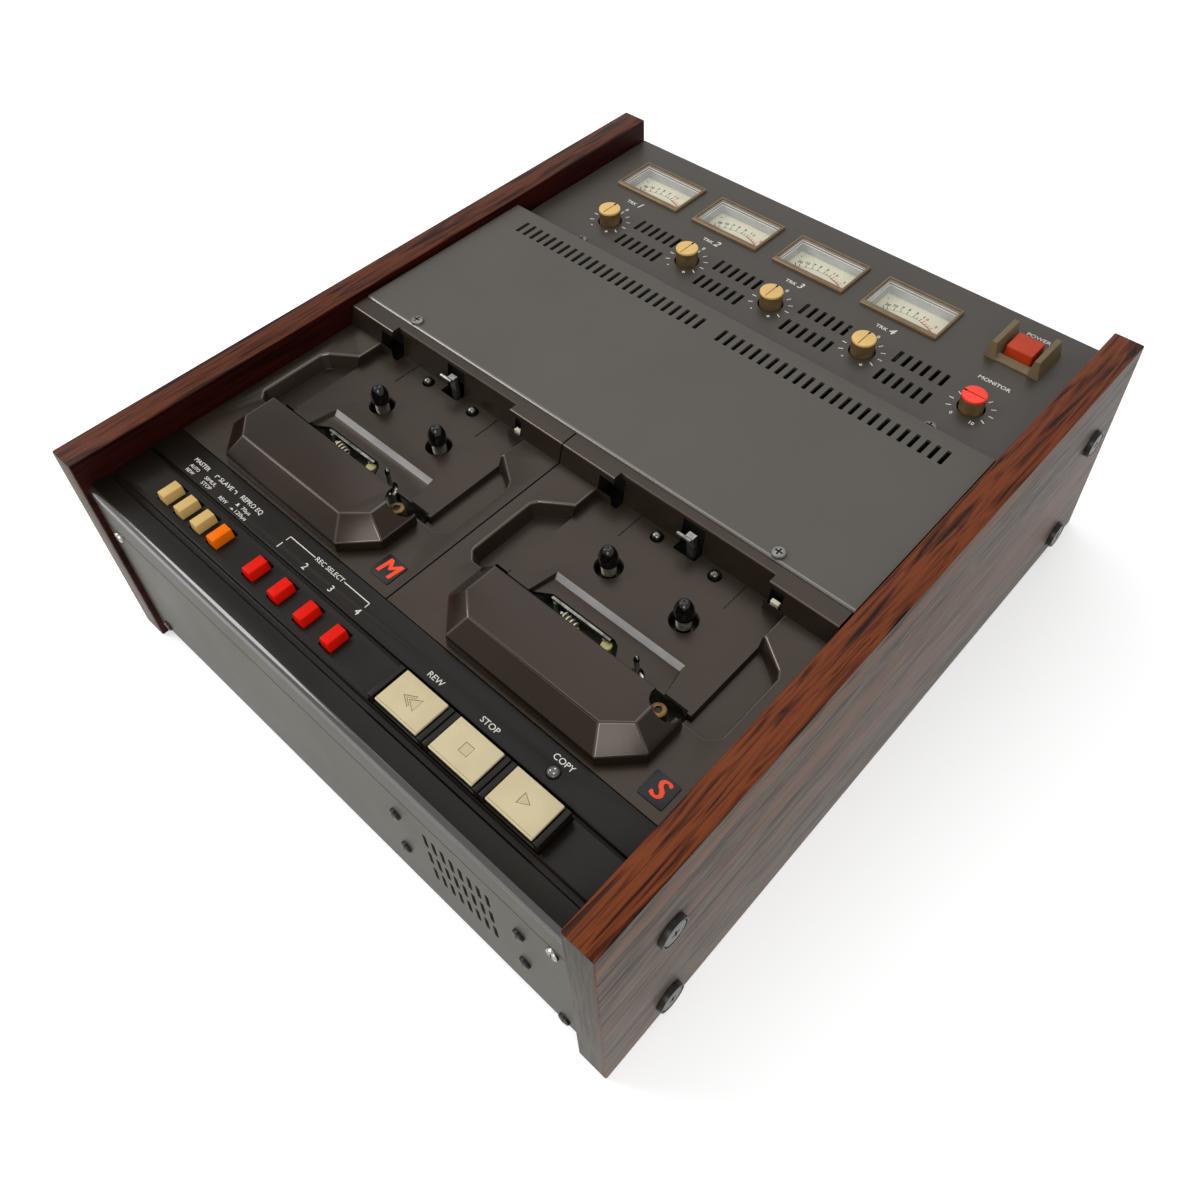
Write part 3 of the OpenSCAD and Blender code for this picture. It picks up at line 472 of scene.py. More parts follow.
# Pivot bearings: collars with a six-sided bore on the pinch arms, seen at the right end of each head cover. Turned from
# bronze in a dark tone and pressed onto the arm, so each swings with it.
def carry(made, name, move, body, slot, *drawn):
    """One copy of a modelled piece, moved into place and fitted."""
    return fit(copy_of(made, name, move), body, slot, *drawn)


def on_both_decks(made, name, spot, slot, body=None, drawn=None):
    """A copy of a modelled piece on each deck in its place, moving with a body of that deck or else with the case."""
    for deck, deck_x in deck_bodies.items():
        replaced = [f"{drawn}_{deck}"] if drawn else []
        carry(made, f"{name}_{deck}", (deck_x + spot[0], spot[1], 0), f"{body}_{deck}" if body else "case", slot,
              *replaced)
    bpy.data.objects.remove(made)


pivot_spot = (45.4, -109.8)
dark_bronze = finish("dark_bronze", (118, 90, 50), (78, 56, 30), 3, 0.35, metal=0.7)
collar = turned("collar", [(3.3, 118), (3.6, 118.4), (3.6, 123.2), (3.3, 123.9), (2.7, 124.2)], sides=36)
paint(collar, dark_bronze)
# The shallow bore is painted black: painted shade in the hole.
cut(collar, paint(turned("hex_bore", [(1.75, 123.56), (1.75, 126)], sides=6), black_steel_and_shade))
polish(collar)
on_both_decks(collar, "pivot_bearing", pivot_spot, "brass", "pinch_arm")


# Deck covers: two like mouldings in bronze-coloured satin paint, each with a sunk well for the cassette, a finger
# recess at either end and a raised bar behind. Moulded in one piece and screwed down at the back.
def eased(corners, steps=5):
    """Outline with its corners rounded, from (x, y, radius) corners."""
    outline = []
    for i, (x, y, radius) in enumerate(corners):
        here = Vector((x, y))
        if not radius:
            outline.append((x, y))
            continue
        back = (Vector(corners[i - 1][:2]) - here).normalized()
        ahead = (Vector(corners[(i + 1) % len(corners)][:2]) - here).normalized()
        half = back.angle(ahead) / 2
        centre = here + (back + ahead).normalized() * radius / math.sin(half)
        start, end = (here + way * radius / math.tan(half) - centre for way in (back, ahead))
        first = math.atan2(start.y, start.x)
        sweep = (math.atan2(end.y, end.x) - first + math.pi) % (2 * math.pi) - math.pi
        for step in range(steps + 1):
            angle = first + sweep * step / steps
            outline.append((centre.x + radius * math.cos(angle), centre.y + radius * math.sin(angle)))
    return outline


def grown(corners, by):
    """Anticlockwise outline moved outward, with its round corners growing or shrinking to match."""
    moved = []
    for i, (x, y, radius) in enumerate(corners):
        before = Vector((x, y)) - Vector(corners[i - 1][:2])
        after = Vector(corners[(i + 1) % len(corners)][:2]) - Vector((x, y))
        a = Vector((before.y, -before.x)).normalized()
        b = Vector((after.y, -after.x)).normalized()
        shift = (a + b) * by / (1 + a.dot(b))
        bulge = by if before.cross(after) > 0 else -by
        moved.append((x + shift.x, y + shift.y, max(radius + bulge, 0.05) if radius else 0))
    return moved


def level(outline, z):
    return [(x, y, z) for x, y in outline]


def along_x(profile, x):
    return [(x, y, z) for y, z in profile]


def loft(name, *rings):
    """Closed solid through rings of points, each ring with as many points as the first."""
    clear_selection()
    bpy.ops.mesh.primitive_circle_add(vertices=len(rings[0]), radius=1, fill_type="NGON")
    piece = held(name)
    order = list(range(len(rings[0])))
    for vertex, point in zip(piece.data.vertices, rings[0]):
        vertex.co = Vector(point) / 1000
    for ring in rings[1:]:
        bpy.ops.object.mode_set(mode="EDIT")
        bpy.ops.mesh.extrude_region_move(TRANSFORM_OT_translate={"value": (0, 0, 0)})
        bpy.ops.object.mode_set(mode="OBJECT")
        vertices = piece.data.vertices
        last = {tuple(vertices[index].co): rank for rank, index in enumerate(order)}
        fresh = {last[tuple(vertex.co)]: vertex.index for vertex in vertices if vertex.select}
        order = [fresh[rank] for rank in range(len(ring))]
        for index, point in zip(order, ring):
            vertices[index].co = Vector(point) / 1000
    face_outward()
    return piece


def slab(name, outline, low, high):
    """Solid with one outline all the way up."""
    return loft(name, level(outline, low), level(outline, high))


def beam(name, profile, left, right):
    """Solid with one profile all the way across."""
    return loft(name, along_x(profile, left), along_x(profile, right))


def rod(name, x, y, low, high, radius, sides=32):
    return turned(name, [(radius, low), (radius, high)], (x, y, 0), sides)


deck_bronze = finish("deck_bronze", (46, 37, 29), (41, 32, 24), 30, 0.32, metal=0.4, relief=0.15, grit=0.35, fleck=0.18)
# Lighter and smoother tone for the eased edges of the decks: a painted highlight.
deck_edge_highlight = finish("deck_edge_highlight", (86, 77, 67), (77, 68, 58), 20, 0.18, metal=0.5, gloss=0.6)
pale_strip = finish("pale_strip", (136, 133, 131), (118, 115, 113), 12, 0.35)
# Near-black for the inside of openings: painted shade.
hollow_painted_shade = finish("hollow_painted_shade", (14, 12, 10), (9, 8, 7), 6, 0.8, gloss=0.1)
rim, well_floor, tray_floor, recess_floor, bar_top = 118.5, 113, 111, 109.7, 129
deck_half, deck_front, deck_rear, bar_foot, bar_edge = 76.35, -143, -26.7, -39.3, -36.2
well_half, well_front = 52.7, -97.4
spindle_half, spindle_y, locator_half, locator_y, capstan_spot = 21.25, -65.65, 16.4, -39.3, (23.2, -97.3)
recess = [(49, -105, 0), (64.5, -105, 3), (69.2, -100.5, 3), (69.2, -65.5, 1.6), (67.2, -62.3, 1.6), (53.2, -52.9, 0.8),
          (51.5, -56, 0.8), (51.5, -97.4, 0), (49, -97.4, 0)]
mirrored = [(-x, y, radius) for x, y, radius in reversed(recess)]

deck = block("deck", (-deck_half, deck_front, 116), (deck_half, deck_rear, rim))
bar_profile = eased([(bar_foot, 117, 0), (bar_foot, rim, 0), (bar_edge, bar_top, 0.9), (deck_rear, bar_top, 0.7),
                     (deck_rear, 117, 0)])
merge(deck, "UNION", beam("bar", bar_profile, -deck_half + 0.01, deck_half - 0.01))
merge(deck, "UNION", block("well_box", (-54.5, -99, well_floor - 2.5), (54.5, -33, 118)))
for side in (recess, mirrored):
    wall = eased(grown(side, 1.5))
    merge(deck, "UNION", slab("recess_box", wall, recess_floor - 1.5, 118.2))
tray_wall = [(-37.5, -81), (-40, -98), (40, -98), (37.5, -81)]
merge(deck, "UNION", slab("tray_box", tray_wall, tray_floor - 2, well_floor - 1))
well_rings = [level([(-half, well_front - 2), (half, well_front - 2), (half, bar_foot), (-half, bar_foot)], z)
              for half, z in ((well_half, well_floor), (well_half + 0.15, rim - 0.8), (well_half + 0.4, rim - 0.25),
                              (well_half + 0.9, rim + 0.01), (well_half + 0.9, rim + 30))]
cut(deck, loft("well", *well_rings))
notch = [(-41, well_floor), (-34.3, well_floor), (-31.8, 128.3), (-31.2, bar_top + 0.02), (-31.2, 131), (-41, 131)]
cut(deck, beam("notch", notch, -44.3, 42))
for side in (recess, mirrored):
    rings = [level(eased(grown(side, by)), z) for by, z in
             ((-1.9, recess_floor), (-1.7, recess_floor + 0.3), (-0.2, rim - 1), (0, rim - 0.7), (0.25, rim - 0.22),
              (0.8, rim + 0.02), (0.8, rim + 5))]
    cut(deck, loft("recess", *rings))
cut(deck, loft("tray", level([(-35.2, -84.9), (-38, -98), (38, -98), (35.2, -84.9)], tray_floor),
               level([(-36, -82.3), (-38.7, -98), (38.7, -98), (36, -82.3)], well_floor + 0.02)))
front_hole = [(-61, -95.2), (-61, -105), (-50.5, -105), (-50.5, -121), (-37, -135), (37, -135), (50.5, -121),
              (50.5, -97.4), (-51.5, -97.4), (-51.5, -95.2)]
cut(deck, slab("front_hole", front_hole, 100, 125))
head_slot = eased([(-38.6, -98, 0), (11.5, -98, 0), (11.5, -97, 0.6), (8.6, -92.6, 2.5), (5.6, -91, 1.2),
                   (-29.8, -91, 1.5), (-38.6, -96.5, 0.6)])
cut(deck, slab("head_slot", head_slot, 100, 116))
cut(deck, rod("capstan_hole", *capstan_spot, 100, 116, 3.25))
spindle_hole = [(6.2, 100), (6.2, well_floor - 0.5), (6.7, well_floor + 0.02), (6.7, 120)]
for side in (-1, 1):
    cut(deck, turned("spindle_hole", spindle_hole, (side * spindle_half, spindle_y, 0), 40))
    cut(deck, rod("pin_hole", side * locator_half, locator_y, 100, well_floor + 1, 3.3))
rib_foot, rib_top = well_floor - 0.3, well_floor + 0.4
for x in (-29.85, 29.85):
    rib = [(x - 0.4, rib_foot), (x + 0.4, rib_foot), (x + 0.15, rib_top), (x - 0.15, rib_top)]
    merge(deck, "UNION", loft("rib", *[[(across, y, z) for across, z in rib] for y in (-50, -33.8)]))
# The sloped strip at the foot of each well is painted a pale grey.
paint(deck, deck_bronze, pale_strip)
# The walls of the three windows in the bar take the near-black: painted shade inside the openings.
for low, high in (((-52.5, -39.2, 100), (-41.3, -31, 126)), ((-7.4, -39.2, 100), (4.9, -30.5, 126.8)),
                  ((41.3, -39.2, 100), (50.3, -32, 126.5))):
    cut(deck, paint(block("window", low, high), hollow_painted_shade))
soften(deck, 0.25, 2, 40)
polish(deck, 40)
deck.data.materials.append(deck_edge_highlight)
highlight_slot, strip_half, strip_area, highlight_area = len(deck.data.materials) - 1, 0.036, 1e-5, 2e-5
# Small eased faces along the rims and the top front edge of the bar take the lighter edge tone, a painted highlight.
for face in deck.data.polygons:
    back, up, height = face.normal.y, face.normal.z, face.center.z * 1000
    in_strip = tray_floor < height < well_floor and abs(face.center.x) < strip_half and face.area > strip_area
    if back < -0.5 and up > 0.5 and in_strip:
        face.material_index = 1
    elif back < -0.3 and up > 0.3 and height > rim + 3:
        face.material_index = highlight_slot
    elif 0.2 < up < 0.96 and height > rim - 0.9 and face.area < highlight_area:
        face.material_index = highlight_slot
on_both_decks(deck, "moulded_deck", (0, 0), "deck_plastic", drawn="deck_cover")


# Locating pins and the tape path seen in each head slot: polished pin tips, a chromed guide bar, a return spring, a
# nylon guide roller and the bearing and tip of the capstan. Turned and wound steel on posts from the mechanism plate.
guide_chrome = finish("guide_chrome", (124, 123, 116), (58, 56, 52), 5, 0.22, metal=1)
spring_steel = finish("spring_steel", (214, 206, 184), (160, 150, 126), 2, 0.3, metal=0.6)
roller_nylon = finish("roller_nylon", (196, 190, 132), (176, 170, 112), 3, 0.4)
plate_top, roller_spot = 93.5, (3.4, -94)
# The first piece is a dark block under the left window, there only to hide what lies below: painted shade.
path_pieces = [paint(soften(block("painted_shade_block", (-56.5, -40.5, 108.6), (-39, -27, 109.6)), 0.2, 2), hollow_painted_shade)]
tip_rings = [(2.3, 113.9), (2.3, 114.7), (1.95, 115.3), (1.2, 115.8), (0.5, 116)]
# Under each pin tip stands a black sleeve: painted shade in the hole round the pin.
for x in (-locator_half, locator_half):
    path_pieces.append(paint(turned("pin_shade_sleeve", [(2.35, 108), (2.35, 114)], (x, locator_y, 0)), black_steel_and_shade))
    path_pieces.append(paint(turned("pin_tip", tip_rings, (x, locator_y, 0)), guide_chrome))
path_pieces.append(paint(soften(block("guide_bar", (-30, -92.9, 109.3), (4.2, -91.2, 110.6)), 0.35, 3), guide_chrome))
for x, y, top, radius in ((-27.5, -92.4, 109, 1.1), (1, -92.4, 109, 1.1), (-21.3, -95.1, 109.6, 0.7),
                          (-10.6, -96.8, 109.6, 0.7), (*roller_spot, 105.4, 0.9)):
    path_pieces.append(paint(rod("post", x, y, plate_top, top, radius), plated_steel))
clear_selection()
bpy.ops.mesh.primitive_circle_add(vertices=10, radius=0.0005, location=(0.0022, 0, 0),
                                  rotation=(math.radians(90), 0, 0))
coil = held("return_spring")
bpy.ops.object.transform_apply(location=True, rotation=True)
wind = coil.modifiers.new("wind", "SCREW")
wind.screw_offset, wind.iterations, wind.steps, wind.render_steps = 0.0023, 4, 20, 20
bpy.ops.object.modifier_apply(modifier=wind.name)
bpy.ops.object.mode_set(mode="EDIT")
bpy.ops.mesh.select_all(action="DESELECT")
bpy.ops.mesh.select_non_manifold()
bpy.ops.mesh.edge_face_add()
bpy.ops.object.mode_set(mode="OBJECT")
path_pieces.append(paint(place(coil, (-20.5, -95.2, 108.2), (0, 90, -9)), spring_steel))
roller_rings = [(2.3, 105.2), (2.6, 105.5), (2.6, 108.2), (2.2, 108.6), (0.9, 108.6)]
bearing_rings = [(3, plate_top), (3, 108.5), (2.7, 108.9), (1.9, 108.9), (1.8, 108.2), (1.4, 108.2)]
path_pieces.append(paint(turned("guide_roller", roller_rings, (*roller_spot, 0)), roller_nylon))
path_pieces.append(paint(turned("capstan_bearing", bearing_rings, (*capstan_spot, 0)), bright_steel))
tape_path = gather("tape_path", [polish(piece) for piece in path_pieces])
tip = polish(paint(turned("tip", [(1.32, 121), (1.32, 122.4), (0.9, 123.1), (0.3, 123.7)]), guide_chrome))
for name, deck_x in deck_bodies.items():
    carry(tape_path, f"tape_path_{name}", (deck_x, 0, 0), "case", "mechanism_steel")
    carry(tip, f"capstan_tip_{name}", (deck_x + capstan_spot[0], capstan_spot[1], 0), f"capstan_{name}", "chrome")
for made in (tape_path, tip):
    bpy.data.objects.remove(made)


# Head covers: pressed covers over the heads in the same bronze paint, with bevelled corners and an open back, and a
# round notch at the right for the pivot bearing. They clip onto the decks.
hood_bronze = finish("hood_bronze", (38, 26, 15), (33, 22, 12), 30, 0.22, metal=0.4, relief=0.1, grit=0.35, gloss=0.32,
                     fleck=0.18)
# Lighter and smoother tone for the bevels of the covers: a painted highlight.
hood_edge_highlight = finish("hood_edge_highlight", (60, 51, 42), (53, 44, 36), 20, 0.14, metal=0.4, gloss=0.65)
hood_rear, hollow_rear, hood_wall = -107, -100, 2
hood_sizes = [(55.5, 41, -141.3, -126.7, rim), (55.2, 40.9, -141, -126.6, 124), (46, 35.6, -132.2, -123.4, 132.7)]


def hood_ring(half, front_half, front, side, z, inset=0.0, rear=hood_rear):
    """Ring of the cover at a height, from half its widths and where its front and its corners lie."""
    end, nose = half - inset, front_half - inset * 0.5
    return level([(-end, rear), (-end, side + inset * 0.5), (-nose, front + inset), (nose, front + inset),
                  (end, side + inset * 0.5), (end, rear)], z)


hood = loft("hood", *[hood_ring(*sizes) for sizes in hood_sizes])
soften(hood, 0.6, 4, 15)
cut(hood, loft("hollow", *[hood_ring(*sizes, z - drop, hood_wall, hollow_rear)
                           for (*sizes, z), drop in zip(hood_sizes, (2, 0, hood_wall))]))
cut(hood, rod("notch", 48, -108.5, rim - 2, 140, 6.3, 48))
paint(hood, hood_bronze, hood_edge_highlight)
polish(hood, 28)
# Small upward-facing bevel faces take the lighter tone, a painted highlight along the edges.
for face in hood.data.polygons:
    if face.area < highlight_area and face.normal.z > 0.2:
        face.material_index = 1
on_both_decks(hood, "pressed_hood", (0, 0), "deck_plastic", drawn="head_cover")


# Spindles: glossy black nylon bullets over a ringed metal sleeve, two to a deck, that turn the hubs of the cassette.
# Each is pushed onto a shaft with a flat table, which turns in the mechanism plate.
def above_well(rings):
    """Rings with their heights counted from the floor of the well."""
    return [(radius, well_floor + rise) for radius, rise in rings]


spindle_nylon = finish("spindle_nylon", (12, 11, 11), (7, 7, 7), 4, 0.13)
sleeve_steel = finish("sleeve_steel", (92, 88, 77), (54, 50, 43), 3, 0.3, metal=0.8)
sleeve_rings = [(2, -34), (2, -14.5), (14, -14.5), (14, -8.5), (3.1, -8.5)]
for ring in range(9):
    start = ring * 0.8 - 3.4
    sleeve_rings += [(3.1, start), (3.5, start + 0.2), (3.5, start + 0.5), (3.1, start + 0.75)]
bullet_rings = [(3.6, 3.2), (4.3, 3.4), (4.4, 3.8), (4.4, 7.6), (4.2, 8.6), (3.75, 9.9), (2.9, 11.5), (2.0, 12.7),
                (1.5, 13), (0.6, 13), (0.4, 12.6)]
sleeve = paint(turned("sleeve", above_well(sleeve_rings + [(3.1, 4)])), sleeve_steel)
bullet = paint(turned("bullet", above_well(bullet_rings), sides=40), spindle_nylon)
spindle = gather("spindle", [polish(sleeve, 50), polish(bullet, 45)])
for name, deck_x in deck_bodies.items():
    for side, which in ((-1, "supply"), (1, "takeup")):
        node = f"{which}_spindle_{name}"
        carry(spindle, f"drive_spindle_{which}_{name}", (deck_x + side * spindle_half, spindle_y, 0), node,
              "black_plastic", node)
bpy.data.objects.remove(spindle)


# Deck badges: black plaques with a printed orange letter for master and slave, one beside each head cover.
# Thin plastic with eased corners, stuck to the rim of the deck.
def corners_of(wide, deep, radius, x=0, y=0):
    """Corners of an oblong centred on a place, with the radius of each."""
    return [(x - wide / 2, y - deep / 2, radius), (x + wide / 2, y - deep / 2, radius),
            (x + wide / 2, y + deep / 2, radius), (x - wide / 2, y + deep / 2, radius)]


def lettering(name, words, spot, height, material, bold=0.0, width=None, slant=0.0):
    """Printed words as a thin mesh, centred on a spot, with capitals of a height and, where given, a set width."""
    capital_share, thick = 0.69, 0.06
    clear_selection()
    bpy.ops.object.text_add()
    text = bpy.context.active_object
    text.data.body = words
    text.data.align_x = text.data.align_y = "CENTER"
    text.data.size = height / 1000 / capital_share
    text.data.offset = bold / 1000
    text.data.shear = slant
    text.data.extrude = thick / 2000
    text.data.resolution_u = 3
    bpy.ops.object.convert(target="MESH")
    piece = held(name)
    piece.location = [c / 1000 for c in spot]
    if width:
        piece.scale.x = width / 1000 / piece.dimensions.x
    bpy.ops.object.transform_apply(location=True, rotation=True, scale=True)
    return paint(piece, material)


badge_black = finish("badge_black", (22, 23, 26), (16, 17, 20), 5, 0.35, gloss=0.2)
badge_orange = finish("badge_orange", (232, 72, 28), (220, 62, 22), 3, 0.4, gloss=0.2)
for name, deck_x in deck_bodies.items():
    x, y = deck_x + 65.5, -132.3
    plate = paint(slab("plate", eased(corners_of(12, 12, 0.8, x, y)), rim - 0.1, rim + 0.5), badge_black)
    soften(plate, 0.15, 2)
    letters = [lettering("letter", name[0].upper(), (x + shift, y, rim + 0.52 + lift), 8.4, badge_orange, slant=0.12)
               for shift, lift in ((-0.38, 0), (-0.13, 0.01), (0.13, 0.02), (0.38, 0.03))]
    fit(gather(f"deck_badge_{name}", [polish(plate)] + letters), "case", "black_plastic")


# Control panel: one long moulding in near-black satin plastic across the front, with a rounded front edge, a soft
# groove before the buttons and a narrow one before the lettered strip. It clips onto the rail.
panel_plastic = finish("panel_plastic", (21, 16, 11), (17, 13, 9), 25, 0.3, relief=0.12, grit=0.4, gloss=0.13,
                       fleck=0.14)
# Lighter and glossier tone for the rounded front lip: a painted highlight.
panel_edge_highlight = finish("panel_edge_highlight", (42, 37, 33), (36, 31, 27), 25, 0.16, gloss=0.9)
button_strip, word_strip, panel_half = 117.5, 118.5, 154.7
panel_profile = eased([(-194.3, 112, 0), (-194.3, button_strip, 2.6), (-183.0, button_strip, 0.6), (-182.2, 116.2, 0.4),
                       (-180.0, 116.2, 0.4), (-179.2, button_strip, 0.6), (-160.5, button_strip, 0.35),
                       (-160.3, 116.1, 0.1), (-159.1, 116.1, 0.1), (-158.9, word_strip, 0.4),
                       (-143.25, word_strip, 0.4), (-143.25, 115.5, 0), (-158, 115.5, 0), (-160, 114, 0),
                       (-191.5, 114, 0), (-191.5, 112, 0)], 4)
panel = beam("panel", panel_profile, -panel_half, panel_half)
button_y, key_y, lamp_spot = -170.1, -169.8, (108.3, -153)
mode_xs, select_xs = ([first + pitch * i for i in range(4)] for first, pitch in ((-120.3, 13), (-54.4, 18)))
for x in mode_xs + select_xs:
    cut(panel, block("button_slot", (x - 3.9, button_y - 5.7, 110), (x + 3.9, button_y + 6.5, 121)))
cut(panel, block("key_slot", (31.4, -179, 110), (126.5, -160.7, 121)))
cut(panel, rod("lamp_hole", *lamp_spot, 110, 121, 3))
soften(panel, 0.22, 2, 60)
polish(paint(panel, panel_plastic, panel_edge_highlight), 30)
# Faces of the rounded front lip take the lighter tone, a painted highlight.
for face in panel.data.polygons:
    if face.normal.y < -0.1 and face.normal.z > 0.1 and face.center.y < -0.1915:
        face.material_index = 1
fit(panel, "case", "bezel_plastic", "control_bezel")


# Lettering on the panel: words and figures that name each control, with brackets over the groups. White ink, screen
# printed straight onto the moulding.
white_print = finish("white_print", (212, 209, 200), (196, 193, 185), 3, 0.5, gloss=0.1)
ink_under, ink_over = 0.05, 0.03


def bracket(left, right, y, drop, gap):
    """Printed line with a tick down at either end, open in the middle where a word stands."""
    thick, low, high = 0.22, word_strip - ink_under, word_strip + ink_over
    runs = (left, gap[0]), (gap[1], right)
    lines = [block("line", (a, y - thick, low), (b, y + thick, high)) for a, b in runs]
    lines += [block("tick", (x - thick, y - drop, low), (x + thick, y, high)) for x in (left, right)]
    return [paint(line, white_print) for line in lines]


words = [("MASTER", -125.3, -150.3, 2.1, 11.2), ("AUTO", -126.0, -153.9, 1.7, 6.8), ("REW", -126.0, -156.7, 1.7, 5.8),
         ("SIMUL", -113.1, -154, 1.8, 8.4), ("STOP", -112.6, -156.8, 1.8, 7), ("SLAVE", -106.1, -150.2, 2.2, 10),
         ("REW", -99.2, -156.8, 1.8, 5.8), ("REPRO EQ", -86.6, -149.9, 2.3, 15.6), ("70µs", -85.5, -153.8, 1.8, 6.2),
         ("120µs", -85.5, -156.9, 1.8, 8), ("REC SELECT", -30.3, -149.3, 2.2, 18.6), ("REW", 45.2, -155.3, 2.6, 8.4),
         ("STOP", 76.4, -155.2, 2.6, 9.6), ("COPY", 108.6, -147.7, 2.6, 10.2)]
words += [(str(i + 1), x, -155.4, 3.3, None) for i, x in enumerate((-58.1, -39.8, -21.7, -3.8))]
prints = [lettering("word", text, (x, y, word_strip + 0.02), tall, white_print, tall * 0.008, wide)
          for text, x, y, tall, wide in words]
prints += bracket(-58, -3.3, -149.3, 2.6, (-40.4, -20.2)) + bracket(-114, -98.2, -149.5, 1.6, (-112.2, -100))
for y, peak in ((-153.9, 0.8), (-156.8, 0.1)):
    for low, high in (((-92.6, y - 0.75), (-90.6, y - 0.45)), ((-92.1, y - 0.5), (-91.1, y + peak))):
        mark = block("mark", (*low, word_strip - ink_under), (*high, word_strip + ink_over))
        prints.append(paint(mark, white_print))
fit(gather("panel_lettering", prints), "case", "bezel_plastic")


# Push buttons: caps in beige, orange and red with drafted sides, four for the modes and four to choose the tracks.
# Moulded in coloured plastic, each on a latching switch below its slot.
button_beige = finish("button_beige", (194, 164, 104), (184, 154, 93), 8, 0.4, gloss=0.12)
button_orange = finish("button_orange", (226, 106, 0), (216, 97, 0), 8, 0.38, gloss=0.06)
button_red = finish("button_red", (212, 24, 8), (199, 18, 6), 8, 0.38, gloss=0.06)
button_rings = [[(x * half, y * deep, z) for x, y in ((-1, -1), (1, -1), (1, 1), (-1, 1))]
                for half, deep, z in ((3.3, 4.95, 110), (3.3, 4.95, 117.4), (2.7, 4.85, 121.8))]
button = polish(soften(loft("button", *button_rings), 0.4, 3))
switches = list(zip(mode_xs, ["auto_rewind_button", "simul_stop_button", "slave_rewind_button", "eq_button"],
                    [(button_beige, "beige")] * 3 + [(button_orange, "orange")]))
switches += [(x, f"record_select_{i + 1}", (button_red, "red")) for i, x in enumerate(select_xs)]
for x, node, (colour, slot) in switches:
    paint(carry(button, f"cap_{node}", (x, button_y, 0), node, slot, node), colour)
bpy.data.objects.remove(button)


# Transport keys: cream caps with an engraved sign, set in dark bodies whose shoulders stand either side of the cap.
# Moulded plastic. The three share one long opening and press straight down on switches below.
key_cream = finish("key_cream", (192, 179, 144), (184, 171, 136), 12, 0.42, gloss=0.2, fleck=0.03)
key_sunk = finish("key_sunk", (186, 172, 137), (179, 165, 130), 6, 0.45, gloss=0.15)
# Darker tone for the walls of the engraved lines in the caps: painted shade in the grooves.
key_groove_shade = finish("key_groove_shade", (136, 123, 92), (124, 112, 84), 6, 0.5, gloss=0.1)
key_dark = finish("key_dark", (22, 17, 13), (18, 14, 10), 10, 0.36, relief=0.12, gloss=0.14, fleck=0.12)
cap_half, cap_deep, cap_top, shoulder_top, shoulder = 12, 8.5, 123.5, 122.6, 2.6
first_key, key_pitch, groove_low, groove_high = 48.6, 31.1, 0.7 - cap_deep, 0.86 - cap_deep


def grown_flat(outline, by):
    return [(x, y) for x, y, radius in grown([(x, y, 0) for x, y in outline], by)]


def sunk(outline, colour, by, depth):
    """Punch for a sunk sign in the top of a cap, from an anticlockwise outline."""
    edge = grown_flat(outline, by)
    return paint(slab("punch", edge, cap_top - depth, cap_top + 1), colour)


chevron = [(-4.4, 0.1), (0.5, -2.65), (0.5, -1.7), (-2.75, 0.1), (0.5, 1.95), (0.5, 2.95)]
signs = {"rewind_key": [chevron, [(-1.1, 0.1), (3.45, -2.7), (3.45, 3.1)]],
         "stop_key": [[(-2.2, -2.0), (2.2, -2.0), (2.2, 2.4), (-2.2, 2.4)]],
         "copy_key": [[(2.4, 0.4), (-2.2, 2.8), (-2.2, -2.1)]]}
groove = [(-cap_half - 1, groove_low), (cap_half + 1, groove_low), (cap_half + 1, groove_high),
          (-cap_half - 1, groove_high)]
# In each key the walls of the gap round the cap and the core under the cap are black: painted shade between cap and
# body.
for i, (node, outlines) in enumerate(signs.items()):
    left, right = -cap_half - (1.7 if node == "rewind_key" else 0.65), cap_half + 0.65
    body = block("body", (left - shoulder, -cap_deep - 0.3, 108.5), (right + shoulder, cap_deep + 0.3, shoulder_top))
    cut(body, paint(block("gap", (left, -10, 118), (right, 10, 124)), black_steel_and_shade))
    soften(body, 0.28, 2)
    core = block("core", (-cap_half + 0.3, -cap_deep + 0.3, 117), (cap_half - 0.3, cap_deep - 0.3, 122.3))
    cap = soften(block("cap", (-cap_half, -cap_deep, 122), (cap_half, cap_deep, cap_top)), 0.4, 3)
    paint(cap, key_cream)
    cut(cap, sunk(groove, key_groove_shade, 0, 0.12))
    for outline in outlines:
        cut(cap, sunk(outline, key_groove_shade, 0.12, 0.3))
        inlay = slab("inlay", grown_flat(outline, -0.1), cap_top - 0.6, cap_top - 0.1)
        merge(cap, "UNION", paint(inlay, key_sunk))
    key = gather("key", [polish(paint(body, key_dark)), polish(paint(core, black_steel_and_shade)), polish(cap)])
    carry(key, f"pressed_{node}", (first_key + key_pitch * i, key_y, 0), node, "key_cream", node)
    bpy.data.objects.remove(key)


# Copy lamp: a smoked lens with three bright points inside, in a dark ring beside the COPY key.
# Moulded acrylic pressed into a hole in the panel.
lens_grey = finish("lens_grey", (84, 84, 82), (66, 66, 64), 3, 0.15)
lens_point = finish("lens_point", (240, 240, 236), (224, 224, 220), 2, 0.2)
bezel_rings = [(2.95, 112), (2.95, 118.7), (2.7, 119), (2.4, 118.9)]
lens_rings = [(2.4, 118), (2.4, 119), (2.1, 119.35), (1.5, 119.6), (0.7, 119.7)]
lens = [paint(turned("ring", bezel_rings, (*lamp_spot, 0)), panel_plastic),
        paint(turned("lens", lens_rings, (*lamp_spot, 0)), lens_grey)]
for step in range(3):
    angle = math.radians(90 + 120 * step)
    spot = (lamp_spot[0] + 1.1 * math.cos(angle), lamp_spot[1] + 1.1 * math.sin(angle), 0)
    lens.append(paint(turned("point", [(0.32, 119.4), (0.3, 119.72), (0.12, 119.82)], spot, 12), lens_point))
